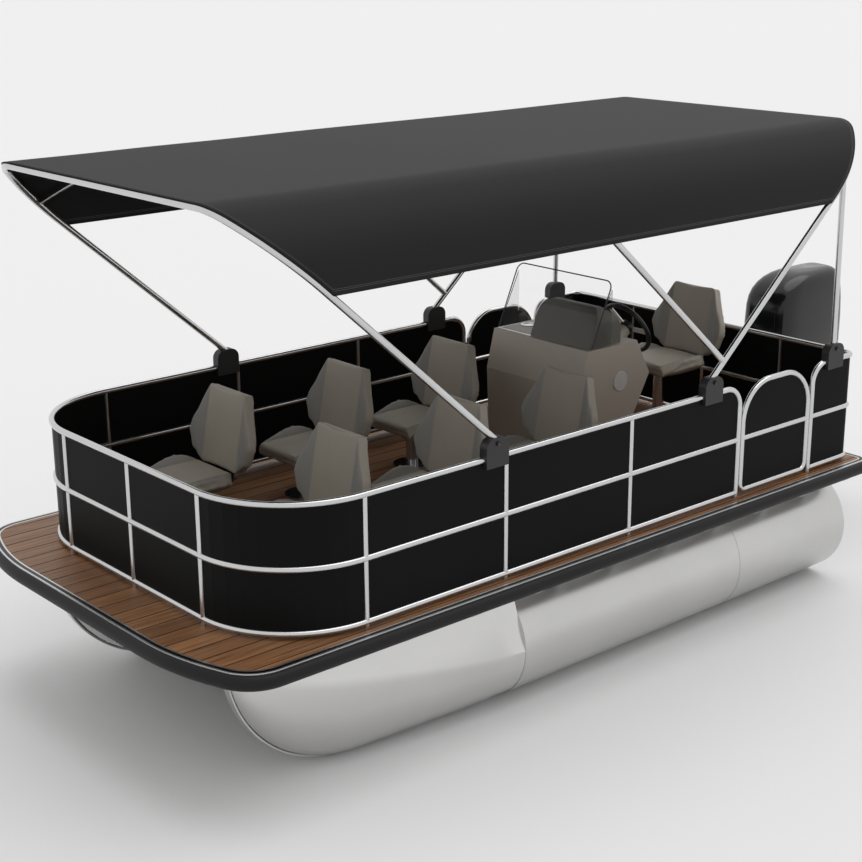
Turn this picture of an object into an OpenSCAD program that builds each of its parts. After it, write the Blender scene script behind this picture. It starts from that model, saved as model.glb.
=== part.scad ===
// Pontoon boat: two welded aluminium tubes carry a planked deck with a panelled fence, two
// gates, a canopy on bent hoops, swivel seats, a helm and an outboard motor.
// The bow points to +X, port is +Y, and the keel strips stand on the ground at z = 0.
// Lengths along the boat are measured aft from the front of the bow bumper.

/* [Overall] */
// Length from the bow bumper to the back of the motor cowl
overall_l = 5990; // [5980:5:6100]
// Beam over the side bumpers
beam = 2568; // [2540:4:2640]
// Height of the deck surface above the ground
deck_z = 810; // [800:5:850]

/* [Pontoons] */
// Radius of each pontoon tube
pontoon_r = 335; // [320:1:340]
// Distance between the centres of the tubes
pontoon_spread = 1630; // [1560:5:1680]
// Length of the round tube, from the stern cap to the nose
pontoon_l = 2770; // [2600:10:2800]
// Length of the nose, from its seam to the stem
nose_l = 1640; // [1500:10:1700]
// Radius of the upswept stem
stem_r = 710; // [690:5:760]
// Distance of the stem behind the bow bumper
stem_d = 315; // [280:5:340]
// Width of the riser along the top of each tube
riser_w = 435; // [400:5:450]
// Width of the keel strip
keel_w = 44; // [30:1:60]
// Thickness of the keel strip
keel_t = 9; // [6:1:14]
// Radius of the hole in each bow eye
eye_r = 11; // [8:0.5:14]
// Thickness of each bow eye
eye_t = 14; // [10:1:20]

/* [Deck] */
// Thickness of the deck planks
plank_t = 12; // [10:1:16]
// Width of one plank
plank_w = 118; // [90:2:150]
// Width of the dark caulking between planks
caulk_w = 6; // [3:0.5:8]
// Thickness of the deck board
board_t = 25; // [18:1:30]
// Width of the metal edge around the planks
trim_w = 38; // [28:1:44]
// Depth of the bumper outside the edge
bumper_d = 32; // [24:1:36]
// Height of the bumper
bumper_h = 80; // [60:2:90]
// Width of the straight front of the deck
bow_flat = 1668; // [1500:4:1700]
// Angle that the front sweeps back at each side
bow_sweep = 20; // [16:1:22]
// Height of the crossmembers under the deck
cross_h = 75; // [60:1:85]
// Width of a crossmember
cross_w = 60; // [40:2:80]
// Number of crossmembers
cross_count = 10; // [8:1:12]

/* [Fence] */
// Distance of the front rail behind the bow bumper
fence_d = 345; // [330:5:380]
// Distance of the side rails from the side bumper
fence_inset = 124; // [110:1:140]
// Radius of the bow corners
fence_r = 545; // [480:5:600]
// Height of the top rail's centre above the deck
rail_top = 664; // [640:1:700]
// Height of the middle rail's centre above the deck
rail_mid = 350; // [320:1:370]
// Height of the low rail's centre above the deck
rail_low = 31; // [24:1:40]
// Diameter of the rails
rail_d = 32; // [26:1:33]
// Diameter of the posts
post_d = 27; // [20:1:28]
// Thickness of the panels
panel_t = 5; // [3:0.5:8]
// Distance of the stern rail ahead of the deck's stern edge
stern_rail_in = 103; // [90:1:120]
// Radius at the top of the end legs
end_r = 115; // [80:1:140]

/* [Gates] */
// Distance between a gate leg and the fence's end leg
gate_gap = 38; // [38:0.5:42]
// Radius at the top of a gate
gate_r = 225; // [150:5:260]
// Clearance under a gate
gate_lift = 6; // [5:0.5:12]
// Distance of the hinge axis inside the fence
hinge_in = 28; // [27:0.5:32]
// Radius of the hinge pins
hinge_pin_r = 5; // [4:0.5:6]
// Radius of the hinge knuckles
knuckle_r = 10; // [9:0.5:12]
// Height of one hinge knuckle
knuckle_h = 30; // [20:1:40]

/* [Canopy] */
// Height of the hoops' crossbars above the deck
hoop_top = 2015; // [1965:5:2075]
// Diameter of the main hoops
hoop_d = 36; // [30:1:38]
// Diameter of the upright braces
brace_d = 34; // [28:1:36]
// Diameter of the small front hoop
small_d = 20; // [16:1:24]
// Radius of the bend at the top of each hoop leg
shoulder_r = 760; // [700:10:800]
// Radius of the bend at each end of a hoop's crossbar
corner_r = 180; // [150:5:220]
// Turn of the bend at the top of each hoop leg
shoulder_turn = 40; // [35:1:45]
// Height of the canopy's lower edge above the deck
canopy_low = 1617; // [1580:1:1655]
// Thickness of the canopy
canopy_t = 5; // [3:0.5:8]
// Length of a canopy mount
mount_l = 148; // [140:2:160]
// Height of a canopy mount
mount_h = 150; // [144:2:160]
// Thickness of a canopy mount
mount_t = 52; // [50:1:60]
// Radius of a mount's upper corners
mount_r = 52; // [30:1:64]
// Height of the hoop pivots above the deck
pivot_h = 755; // [745:1:760]

/* [Seats] */
// Distance of the port seats from the middle
seat_port_y = 445; // [430:5:500]
// Distance of the starboard seats from the middle
seat_star_y = 540; // [520:5:560]
// Height of the cushion tops above the deck
seat_h = 310; // [295:5:345]
// Width of the flat of a cushion or back
pad_w = 322; // [300:2:330]
// Length of the cushion
cushion_l = 393; // [370:1:400]
// Thickness of the cushion
cushion_t = 75; // [60:1:80]
// Height of the back
back_h = 445; // [420:1:460]
// Thickness of the back
back_t = 62; // [54:1:66]
// Recline of the back
recline = 11; // [8:0.5:12]
// Width of the back's side wings
wing_w = 129; // [110:1:135]
// Width of the cushion's side wings
bolster_w = 90; // [80:1:95]
// Radius of the pedestal posts
post_r = 36; // [30:1:40]
// Radius of the pedestal base plates
base_r = 115; // [100:1:130]

/* [Helm] */
// Distance of the helm seat to port of the middle
helm_y = 0; // [-40:5:40]
// Height of the helm seat above the other seats
helm_lift = 190; // [150:5:220]
// Width of the console
console_w = 810; // [780:5:840]
// Distance of the console's middle to port of the boat's middle
console_y = -175; // [-200:5:-150]
// Height of the console above the deck
console_h = 730; // [705:5:745]
// Width of the dash pod
dash_w = 500; // [460:5:520]
// Height of the dash pod above the console
dash_h = 228; // [180:2:240]
// Height of the windscreen above the console
screen_h = 392; // [340:2:410]
// Thickness of the windscreen
screen_t = 6; // [4:0.5:8]
// Radius of the steering wheel to the middle of its rim
wheel_r = 172; // [150:2:180]
// Radius of the wheel rim's section
rim_r = 15; // [12:0.5:18]
// Distance of the wheel behind the console's top front edge
wheel_back = 554; // [545:1:562]
// Tilt of the wheel's axis above the horizontal
wheel_tilt = 28; // [20:1:35]

/* [Motor] */
// Width of the motor pod
pod_w = 620; // [560:5:660]
// Distance of the transom's back behind the deck's stern edge
transom_back = 690; // [680:2:700]
// Thickness of the transom
transom_t = 45; // [40:1:50]
// Height of the transom above the deck
transom_h = 30; // [20:1:40]
// Height of the tilt axis above the transom
tilt_h = 50; // [46:1:56]
// Distance of the steering axis behind the transom
steer_back = 95; // [90:1:100]
// Distance of the cowl's back behind the steering axis
cowl_back = 420; // [410:1:430]
// Height of the cowl
cowl_h = 570; // [540:5:580]
// Length of the cowl
cowl_l = 715; // [690:5:720]
// Width of the cowl
cowl_w = 400; // [360:5:420]
// Height of the propeller axis above the ground
prop_z = 182; // [176:1:190]
// Radius of the propeller
prop_r = 145; // [130:1:150]
// Number of propeller blades
prop_count = 3; // [3:1:4]

/* [Hidden] */
$fn = 48;
arc_steps = 10;
// Overrun of cuts, gap of seated pieces and running clearance of pins
over = 2;
gap = 0.3;
run = 0.05;

// Stations along the deck, as shares of its length
fore_end_share = 0.7532;
gate_share = 0.1254;
seat_share = 0.2069;
seat_pitch_share = 0.1704;
helm_share = 0.8882;
console_share = 0.6982;
console_l_share = 0.0899;
mount_1_share = 0.3582;
mount_2_share = 0.6997;
mount_3_share = 0.9331;
mid_bar_share = 0.436;
small_bar_share = 0.2261;

// Stations and levels
bow_x = overall_l / 2;
function at(d) = bow_x - d;
stern_d = overall_l - transom_back - steer_back - cowl_back;
fore_end_d = stern_d * fore_end_share;
stern_rail_d = stern_d - stern_rail_in;
gate_l = stern_d * gate_share;
seat_d = stern_d * seat_share;
seat_pitch = stern_d * seat_pitch_share;
helm_d = stern_d * helm_share;
console_d = stern_d * console_share;
console_l = stern_d * console_l_share;
mount_1_d = stern_d * mount_1_share;
mount_2_d = stern_d * mount_2_share;
mount_3_d = stern_d * mount_3_share;
mid_bar_d = stern_d * mid_bar_share;
small_bar_d = stern_d * small_bar_share;
board_z = deck_z - plank_t;
cross_z = board_z - board_t;
riser_z = cross_z - cross_h;
tube_z = keel_t + pontoon_r;
stem_x = at(stem_d);
seam_x = stem_x - nose_l;
tube_stern_x = seam_x - pontoon_l;
fence_y = beam / 2 - fence_inset;
rail_r = rail_d / 2;
fence_post_r = post_d / 2;
low_z = deck_z + rail_low;
mid_z = deck_z + rail_mid;
top_z = deck_z + rail_top;

// Pontoon details
bead_w = 10;
bead_h = 2;
bead_shares = [0.365, 0.996];
riser_front = 175;
riser_back = 665;
nose_low_steps = 14;
nose_flat_steps = 6;
nose_arc_steps = 20;
nose_tip_h = 60;
crease_share = 0.8;
nose_full_share = 2.5;
nose_round_share = 0.6;
eye_reach = 46;
eye_low = 72;
eye_z = riser_z - eye_low;
keel_top = 24;

// Deck outline: each row is [straight, turn, radius, roll], walked to the left from the stern
deck_corner_r = 213;
bow_knuckle_r = 1438;
stern_corner_r = 70;
deck_half = beam / 2 - bumper_d;
knuckle_cut = bow_knuckle_r * tan(bow_sweep / 2);
corner_cut = deck_corner_r * tan((90 - bow_sweep) / 2);
sweep_l = (deck_half - bow_flat / 2) / cos(bow_sweep) - knuckle_cut - corner_cut;
deck_side_l = at(bumper_d) - (deck_half - bow_flat / 2) * tan(bow_sweep) - corner_cut
    - at(stern_d) - stern_corner_r;
deck_rows = [
    [deck_side_l, 90 - bow_sweep, deck_corner_r, 0],
    [sweep_l, bow_sweep, bow_knuckle_r, 0],
    [bow_flat - 2 * knuckle_cut, bow_sweep, bow_knuckle_r, 0],
    [sweep_l, 90 - bow_sweep, deck_corner_r, 0],
    [deck_side_l, 90, stern_corner_r, 0],
    [2 * (deck_half - stern_corner_r), 90, stern_corner_r, 0]];
deck_start = [at(stern_d) + stern_corner_r, -deck_half];
bumper_drop = 45;
edge_h = 66;
caulk_depth = 3;
cross_first_share = 0.14;
cross_last_share = 0.965;

// Fence details
side_post_shares = [0.17, 0.444, 0.724];
front_post_share = 0.535;
stern_corner = 60;
fore_side_l = fore_end_d - fence_d - fence_r - end_r;
front_l = 2 * (fence_y - fence_r);
aft_end_d = fore_end_d + 2 * gate_gap + gate_l;
aft_side_l = stern_rail_d - aft_end_d - end_r - stern_corner;
stern_l = 2 * (fence_y - stern_corner);
leg_l = rail_top - end_r;
gate_foot_r = 40;
gate_fore_x = at(fore_end_d + gate_gap);
gate_low_z = low_z + gate_lift;
gate_h = top_z - gate_low_z;
hinge_x = at(fore_end_d + gate_gap / 2);
hinge_y = fence_y - hinge_in;
hinge_shares = [0.2, 0.72];
arm_t = 8;

// Canopy frame: distance aft of the pivot and of the crossbar of each hoop
hoop_r = hoop_d / 2;
brace_r = brace_d / 2;
small_r = small_d / 2;
pivot_z = deck_z + pivot_h;
crossbar_z = deck_z + hoop_top;
front_bar_d = 277;
rear_bar_back = 2;
rear_bar_d = stern_d + rear_bar_back;
mid_foot_h = 838;
mid_foot_z = deck_z + mid_foot_h;
mid_foot_d = mount_2_d + (rear_bar_d - mount_2_d) * (mid_foot_h - pivot_h) / (hoop_top - pivot_h);
small_foot_h = 1765;
small_foot_z = deck_z + small_foot_h;
small_foot_d = mount_1_d - (mount_1_d - front_bar_d) * (small_foot_h - pivot_h) / (hoop_top - pivot_h);
mount_low = 46;
sleeve_t = 0.5;
sleeve_l = 12;
canopy_gap = 1.5;
canopy_steps = 16;
// Lengths that the two bends of a shoulder take from the leg and from the crossbar
corner_turn = 90 - shoulder_turn;
leg_tangent = shoulder_r * tan(shoulder_turn / 2);
bar_tangent = corner_r * tan(corner_turn / 2);
shoulder_leg = leg_tangent + (leg_tangent + bar_tangent) * sin(corner_turn);
shoulder_bar = bar_tangent + (leg_tangent + bar_tangent) * sin(shoulder_turn);

// Seat details
pad_back_d = 228;
pad_back_z = 297;
pad_rear_d = 205;
back_flare = 17;
cushion_flare = 30;
back_wing_shares = [[0, 0], [0.72, 0.14], [1, 0.36], [0.9, 0.5], [0, 1]];
cushion_wing_shares = [[0, 0], [0.12, 0.75], [0.27, 1], [0.45, 0.82], [1, 0]];
bracket_t = 8;
bracket_w = 130;
bracket_front = 110;
bracket_up = 250;
hub_r = 48;
hub_h = 22;
spigot_r = 18;
base_t = 12;
// Seats: column 0 is the row, column 1 the side
seat_rows = [[0, -1], [0, 1], [1, -1], [1, 1], [2, -1], [2, 1]];

// Console outline: forward of the top's front edge and height shares
console_top_x = at(console_d);
console_shares = [[0, 1], [0.142, 0.67], [0.095, 0], [-0.63, 0], [-1.28, 0.695], [-1, 1]];
dash_inset = 12;
dash_l = 270;
dash_r = 95;
dash_off = 30;
dash_y = console_y + (console_w - dash_w) / 2 - dash_off;
// Pod outline: share of the length, share of the height and share of the glass's rake
dash_shares = [[0, 0, 0], [0, 0.84, 1], [-0.04, 0.93, 1], [-0.1, 0.985, 1], [-0.18, 1, 1], [-0.25, 0.985, 1],
    [-0.72, 0.87, 0], [-0.88, 0.7, 0], [-1, 0.5, 0], [-1, 0, 0]];
cup_r = 42;
cup_h = 70;
cup_back = 223;
cup_off = -322;
screen_rake_l = 173;
screen_foot = 31;
screen_in = 5;
screen_r = 50;
wheel_up = 21;
wheel_off = 30;
wheel_x = console_top_x - wheel_back;
wheel_z = deck_z + console_h + wheel_up;
wheel_y = helm_y + wheel_off;
hub_wheel_r = 46;
hub_wheel_l = 40;
spoke_w = 34;
spoke_t = 9;
spoke_angles = [90, 210, 330];
shaft_r = 11;
shaft_l = 190;
boss_r = 40;

// Motor details, along the boat from the transom's back
transom_x = at(stern_d + transom_back);
transom_z = deck_z + transom_h;
tilt_in = 5;
tilt_x = transom_x + transom_t - tilt_in;
tilt_z = transom_z + tilt_h;
steer_x = transom_x - steer_back;
well_low = 23;
well_z = riser_z - well_low;
pod_fore = 685;
pod_well = 45;
pod_nose_h = 75;
pod_low_z = 430;
cheek_in = 80;
cheek_t = 16;
cheek_r = 32;
cheek_leg_t = 26;
cheek_front_h = 105;
cheek_back_h = 270;
tilt_pin_r = 13;
barrel_r = 25;
swivel_w = 120;
tube_r = 36;
tube_low = 335;
tube_up = 12;
steer_pin_r = 20;
yoke_t = 24;
leg_up = 50;
leg_top_z = tilt_z + leg_up;
leg_chord = 240;
leg_w = 130;
leg_back = 170;
plate_up = 165;
plate_z = prop_z + plate_up;
plate_back = 50;
plate_l = 400;
plate_w = 220;
plate_t = 8;
gear_r = 52;
gear_nose = 110;
gear_l = 260;
gear_front = 20;
skeg_t = 14;
skeg_low = 45;
skeg_shares = [[0.25, 0], [0.42, 1], [0.72, 1], [0.95, 0]];
strut_w = 64;
prop_shaft_r = 14;
prop_hub_r = 42;
prop_hub_l = 92;
prop_gap = 3;
blade_t = 7;
blade_pitch = 32;
blade_r = 58;
cowl_up = 222;
cowl_z = tilt_z + cowl_up;
// Rings of the cowl: height, front, back and half width
cowl_ring_shares = [[0, 0.05, 0.97, 0.9], [0.03, 0.015, 0.99, 0.96], [0.08, 0, 1, 0.99], [0.4, 0, 1, 1],
    [0.62, 0.01, 0.995, 0.98], [0.72, 0.03, 0.99, 0.955], [0.8, 0.07, 0.985, 0.92],
    [0.87, 0.135, 0.975, 0.87], [0.92, 0.205, 0.965, 0.8], [0.96, 0.29, 0.95, 0.7],
    [0.985, 0.37, 0.93, 0.58], [1, 0.46, 0.9, 0.42]];
cowl_square_share = 0.42;
cowl_steps = 32;
pan_l = 520;
pan_w = 300;
pan_front = 120;

// Places and helpers
module both_sides() {
    children();
    mirror([0, 1, 0]) children();
}

// Sweep of a section along a path of straights and left turns, in lengths with a joint between them
module sweep_run(rows, joint = 0, i = 0) {
    if (i < len(rows)) {
        straight = rows[i][0];
        turn = rows[i][1];
        radius = rows[i][2];
        rotate([rows[i][3], 0, 0]) {
            if (straight > 0)
                translate([straight, 0, 0]) rotate([90, 0, -90]) linear_extrude(straight - joint) children();
            translate([straight, radius, 0]) {
                if (turn > 0)
                    rotate([0, 0, -90]) rotate_extrude(angle = turn) translate([radius, 0]) children();
                rotate([0, 0, turn]) translate([0, -radius, 0]) sweep_run(rows, joint, i + 1) children();
            }
        }
    }
}

// Points of the same kind of path in plan, moved inwards by e
function trace(rows, e, p, h = 0, i = 0) = i == len(rows) ? [] :
    let (row = rows[i],
        r = row[2] - e,
        q = p + row[0] * [cos(h), sin(h)],
        c = q + r * [-sin(h), cos(h)],
        steps = row[1] > 0 ? arc_steps : 1,
        pts = [for (k = [0:steps])
            let (a = h + row[1] * k / steps) c + r * [sin(a), -cos(a)]])
    concat(pts, trace(rows, e, pts[steps], h + row[1], i + 1));

// Strip of an open path, half of it at each side of the path's middle line
module strip(rows, p, w) {
    difference() {
        polygon(concat([p - [0, w / 2]], trace(rows, -w / 2, p - [0, w / 2])));
        polygon(concat([p + [0, w / 2]], trace(rows, w / 2, p + [0, w / 2])));
    }
}

module deck_outline(e) {
    polygon(trace(deck_rows, e, deck_start + [0, e]));
}

// Rod between two points in the plane of a side
module rod(r, x1, z1, x2, z2) {
    reach = norm([x2 - x1, z2 - z1]);
    translate([x1, 0, z1]) rotate([0, 90 - atan2(z2 - z1, x2 - x1), 0]) cylinder(r = r, h = reach);
}

// Lens of two arcs, as long as l and as wide as w
module lens(l, w) {
    r = (l * l / w + w) / 4;
    intersection() {
        translate([0, w / 2 - r]) circle(r);
        translate([0, r - w / 2]) circle(r);
    }
}

// Solid skinned over closed rings of equal length
module skin(rings) {
    n = len(rings[0]);
    m = len(rings);
    sides = [for (j = [0:m - 2], k = [0:n - 1])
        [j * n + k, j * n + (k + 1) % n, (j + 1) * n + (k + 1) % n, (j + 1) * n + k]];
    split = [for (f = sides) each [[f[0], f[1], f[2]], [f[0], f[2], f[3]]]];
    first = [[for (k = [n - 1:-1:0]) k]];
    last = [[for (k = [0:n - 1]) (m - 1) * n + k]];
    polyhedron([for (r = rings) each r], concat(split, first, last));
}

// Pontoons
// Weld beads and tube, grown by e to cut what lies against them
module beads(e) {
    for (s = bead_shares) translate([pontoon_l * s - e, 0, tube_z]) rotate([0, 90, 0])
        cylinder(r = pontoon_r + bead_h + e, h = bead_w + 2 * e);
}

module tube(e) {
    translate([0, 0, tube_z]) rotate([0, 90, 0]) cylinder(r = pontoon_r + e, h = pontoon_l);
    beads(e);
}

module pontoon() {
    translate([tube_stern_x, pontoon_spread / 2, 0]) {
        tube(0);
        difference() {
            translate([riser_back, -riser_w / 2, tube_z])
                cube([pontoon_l - riser_front - riser_back, riser_w, riser_z - tube_z]);
            tube(gap);
        }
    }
}

// Ring of the nose at length x ahead of the seam and bottom height low
function nose_ring(x, low) =
    let (u = x / nose_l,
        w = keel_w / 2 + (pontoon_r - keel_w / 2) * pow(1 - pow(u, nose_full_share), nose_round_share),
        crease = max(tube_z + (riser_z - tube_z) * u * crease_share, (low + riser_z) / 2),
        side = concat(
            [for (k = [0:nose_low_steps])
                let (a = 90 * k / nose_low_steps) [w * sin(a), crease - (crease - low) * cos(a)]],
            [[w * riser_w / pontoon_r / 2, riser_z]]),
        back = [for (k = [len(side) - 1:-1:1]) [-side[k][0], side[k][1]]])
    [for (p = concat(side, back)) [seam_x + x, p[0], p[1]]];

module nose() {
    straight = nose_l - stem_r;
    tip = acos(1 - (riser_z - nose_tip_h - keel_t) / stem_r);
    rings = concat(
        [for (k = [0:nose_flat_steps - 1]) nose_ring(straight * k / nose_flat_steps, keel_t)],
        [for (k = [0:nose_arc_steps]) let (a = tip * k / nose_arc_steps)
            nose_ring(straight + stem_r * sin(a), keel_t + stem_r * (1 - cos(a)))]);
    translate([0, pontoon_spread / 2, 0]) skin(rings);
}

module pontoon_port() { color("silver") pontoon(); }
module pontoon_starboard() { color("silver") translate([0, -pontoon_spread, 0]) pontoon(); }
module nose_port() { color("silver") nose(); }
module nose_starboard() { color("silver") mirror([0, 1, 0]) nose(); }

// Flat strip under each tube and up its stem, with a bow eye near its top
module keel_strip() {
    centre_x = stem_x - stem_r;
    end_z = riser_z - keel_top;
    translate([0, pontoon_spread / 2, 0]) {
        difference() {
            translate([tube_stern_x, -keel_w / 2, 0]) cube([centre_x - tube_stern_x, keel_w, keel_t - gap]);
            translate([tube_stern_x, 0, 0]) beads(gap);
        }
        rotate([90, 0, 0]) translate([0, 0, -keel_w / 2]) linear_extrude(keel_w)
            intersection() {
                difference() {
                    translate([centre_x, keel_t + stem_r]) circle(stem_r + keel_t, $fn = 180);
                    translate([centre_x, keel_t + stem_r]) circle(stem_r + gap, $fn = 180);
                }
                translate([centre_x, 0]) square([stem_r + keel_t + over, end_z]);
            }
        difference() {
            rotate([90, 0, 0]) translate([0, 0, -eye_t / 2]) linear_extrude(eye_t)
                difference() {
                    union() {
                        translate([stem_x + eye_reach / 2, eye_z]) circle(eye_reach / 2);
                        translate([stem_x - eye_reach / 2, eye_z - eye_reach / 2])
                            square([eye_reach, eye_reach]);
                    }
                    translate([centre_x, keel_t + stem_r]) circle(stem_r + keel_t / 2, $fn = 180);
                }
            translate([stem_x + eye_reach / 2, eye_t, eye_z]) rotate([90, 0, 0])
                cylinder(r = eye_r, h = 2 * eye_t);
        }
    }
}

module keel_strips() { color("gainsboro") both_sides() keel_strip(); }

// Deck
module crossmembers() {
    span = stern_d * (cross_last_share - cross_first_share) / (cross_count - 1);
    cross_half = deck_half - trim_w - gap;
    color("silver") for (i = [0:cross_count - 1])
        translate([at(stern_d * cross_first_share + span * i) - cross_w / 2, -cross_half, riser_z])
            cube([cross_w, 2 * cross_half, cross_h]);
}

module deck_board() {
    color("burlywood") translate([0, 0, cross_z]) linear_extrude(board_t) deck_outline(trim_w + gap);
}

module deck_planks() {
    rows = floor(deck_half / plank_w);
    color("sienna") difference() {
        translate([0, 0, board_z]) linear_extrude(plank_t) deck_outline(trim_w + gap);
        for (i = [-rows:rows])
            translate([at(stern_d), i * plank_w - caulk_w / 2, deck_z - caulk_depth])
                cube([stern_d, caulk_w, caulk_depth + over]);
    }
}

module deck_edge() {
    color("lightgray") translate([0, 0, deck_z - edge_h]) linear_extrude(edge_h)
        difference() {
            deck_outline(0);
            deck_outline(trim_w);
        }
}

module bumper() {
    color("dimgray") translate([deck_start[0], deck_start[1], deck_z - bumper_drop])
        sweep_run(deck_rows, gap) intersection() {
            translate([bumper_d - bumper_h / 2, 0]) circle(bumper_h / 2);
            translate([gap, -bumper_h]) square([bumper_d, 2 * bumper_h]);
        }
}

// Fence
module rail() {
    circle(rail_r);
}

module fence_post(x, y) {
    translate([x, y, deck_z]) cylinder(r = fence_post_r, h = rail_top);
}

function side_post_xs() = [for (s = side_post_shares) at(fence_d + (fore_end_d - fence_d) * s)];
function front_post_ys() = [for (s = [-1, 0, 1]) s * front_post_share * fence_y];

// Hinge knuckles that the fence's end leg carries, with their pins
module fence_hinges() {
    for (s = hinge_shares) translate([hinge_x, hinge_y, gate_low_z + gate_h * s]) {
        translate([0, 0, -knuckle_h]) {
            cylinder(r = knuckle_r, h = knuckle_h);
            translate([0, -arm_t / 2, 0]) cube([gate_gap / 2, arm_t, knuckle_h]);
            translate([gate_gap / 2 - arm_t / 2, -arm_t / 2, 0]) cube([arm_t, hinge_in, knuckle_h]);
        }
        cylinder(r = hinge_pin_r, h = knuckle_h);
    }
}

module fence_fore() {
    low_side_l = fore_side_l + end_r;
    color("lightgray") {
        translate([at(fore_end_d), -fence_y, deck_z]) rotate([0, -90, 0])
            sweep_run([[leg_l, 90, end_r, -90], [fore_side_l, 90, fence_r, 90], [front_l, 90, fence_r, 0],
                [fore_side_l, 90, end_r, -90], [leg_l, 0, 0, 0]]) rail();
        for (z = [low_z, mid_z]) translate([at(fore_end_d), -fence_y, z])
            sweep_run([[low_side_l, 90, fence_r, 0], [front_l, 90, fence_r, 0],
                [low_side_l, 0, 0, 0]]) rail();
        for (y = front_post_ys()) fence_post(at(fence_d), y);
        for (x = side_post_xs()) both_sides() fence_post(x, fence_y);
        both_sides() fence_hinges();
    }
}

// Sheet between two levels, minus round post cuts
module panel_bays(low, high) {
    translate([0, 0, low]) linear_extrude(high - low) children();
}

module fore_panel_plan() {
    side_l = fore_side_l + end_r;
    difference() {
        strip([[side_l, 90, fence_r], [front_l, 90, fence_r], [side_l, 0, fence_r]],
            [at(fore_end_d), -fence_y], panel_t);
        translate([at(fore_end_d) - over, -beam]) square([rail_r + gap + over, 2 * beam]);
        for (y = front_post_ys()) translate([at(fence_d), y]) circle(fence_post_r + gap);
        for (x = side_post_xs(), s = [-1, 1]) translate([x, s * fence_y]) circle(fence_post_r + gap);
    }
}

module fence_fore_panels() {
    color("black") {
        panel_bays(low_z + rail_r + gap, mid_z - rail_r - gap) fore_panel_plan();
        difference() {
            panel_bays(mid_z + rail_r + gap, top_z - rail_r - gap) fore_panel_plan();
            translate([at(fore_end_d), beam, top_z - end_r]) rotate([90, 0, 0]) linear_extrude(2 * beam)
                difference() {
                    square(end_r);
                    translate([end_r, 0]) circle(end_r - rail_r - gap);
                }
        }
    }
}

module fence_stern() {
    low_side_l = aft_side_l + end_r;
    color("lightgray") {
        translate([at(aft_end_d), fence_y, deck_z]) rotate([0, 0, 180]) rotate([0, -90, 0])
            sweep_run([[leg_l, 90, end_r, -90], [aft_side_l, 90, stern_corner, 90],
                [stern_l, 90, stern_corner, 0], [aft_side_l, 90, end_r, -90], [leg_l, 0, 0, 0]]) rail();
        for (z = [low_z, mid_z]) translate([at(aft_end_d), fence_y, z]) rotate([0, 0, 180])
            sweep_run([[low_side_l, 90, stern_corner, 0], [stern_l, 90, stern_corner, 0],
                [low_side_l, 0, 0, 0]]) rail();
        for (y = front_post_ys()) fence_post(at(stern_rail_d), y);
    }
}

module stern_panel_plan() {
    side_l = aft_side_l + end_r;
    rotate([0, 0, 180]) difference() {
        strip([[side_l, 90, stern_corner], [stern_l, 90, stern_corner], [side_l, 0, stern_corner]],
            [-at(aft_end_d), -fence_y], panel_t);
        translate([-at(aft_end_d) - over, -beam]) square([rail_r + gap + over, 2 * beam]);
        for (y = front_post_ys()) translate([-at(stern_rail_d), y]) circle(fence_post_r + gap);
    }
}

module fence_stern_panels() {
    color("black") {
        panel_bays(low_z + rail_r + gap, mid_z - rail_r - gap) stern_panel_plan();
        difference() {
            panel_bays(mid_z + rail_r + gap, top_z - rail_r - gap) stern_panel_plan();
            translate([at(aft_end_d), beam, top_z - end_r]) rotate([90, 0, 0]) linear_extrude(2 * beam)
                mirror([1, 0]) difference() {
                    square(end_r);
                    translate([end_r, 0]) circle(end_r - rail_r - gap);
                }
        }
    }
}

// Gates
module gate_frame() {
    foot_l = gate_l - 2 * gate_foot_r;
    side_l = gate_h - gate_foot_r - gate_r;
    translate([gate_fore_x - gate_l + gate_foot_r, fence_y, gate_low_z])
        rotate([90, 0, 0]) sweep_run([[foot_l, 90, gate_foot_r, 0], [side_l, 90, gate_r, 0],
            [gate_l - 2 * gate_r, 90, gate_r, 0], [side_l, 90, gate_foot_r, 0]]) rail();
    translate([gate_fore_x, fence_y, mid_z]) rotate([0, -90, 0]) cylinder(r = rail_r, h = gate_l);
    for (s = hinge_shares) translate([hinge_x, hinge_y, gate_low_z + gate_h * s + gap]) difference() {
        union() {
            cylinder(r = knuckle_r, h = knuckle_h);
            translate([-gate_gap / 2, -arm_t / 2, 0]) cube([gate_gap / 2, arm_t, knuckle_h]);
            translate([-gate_gap / 2 - arm_t / 2, -arm_t / 2, 0]) cube([arm_t, hinge_in, knuckle_h]);
        }
        translate([0, 0, -over]) cylinder(r = hinge_pin_r + run, h = knuckle_h + 2 * over);
    }
}

module gate_panels() {
    inner = rail_r + gap;
    translate([gate_fore_x, fence_y + panel_t / 2, gate_low_z]) rotate([90, 0, 0]) linear_extrude(panel_t)
        difference() {
            translate([inner - gate_l, inner]) square([gate_l - 2 * inner, gate_h - 2 * inner]);
            translate([-gate_l, mid_z - gate_low_z - inner]) square([gate_l, 2 * inner]);
            for (s = [0, 1]) translate([-gate_l * s, 0]) mirror([1 - s, 0]) {
                difference() {
                    square(gate_foot_r);
                    translate([gate_foot_r, gate_foot_r]) circle(gate_foot_r - inner);
                }
                translate([0, gate_h - gate_r]) difference() {
                    square(gate_r);
                    translate([gate_r, 0]) circle(gate_r - inner);
                }
            }
        }
}

module gate_port_frame() { color("lightgray") gate_frame(); }
module gate_port_panels() { color("black") gate_panels(); }
module gate_starboard_frame() { color("lightgray") mirror([0, 1, 0]) gate_frame(); }
module gate_starboard_panels() { color("black") mirror([0, 1, 0]) gate_panels(); }

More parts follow.
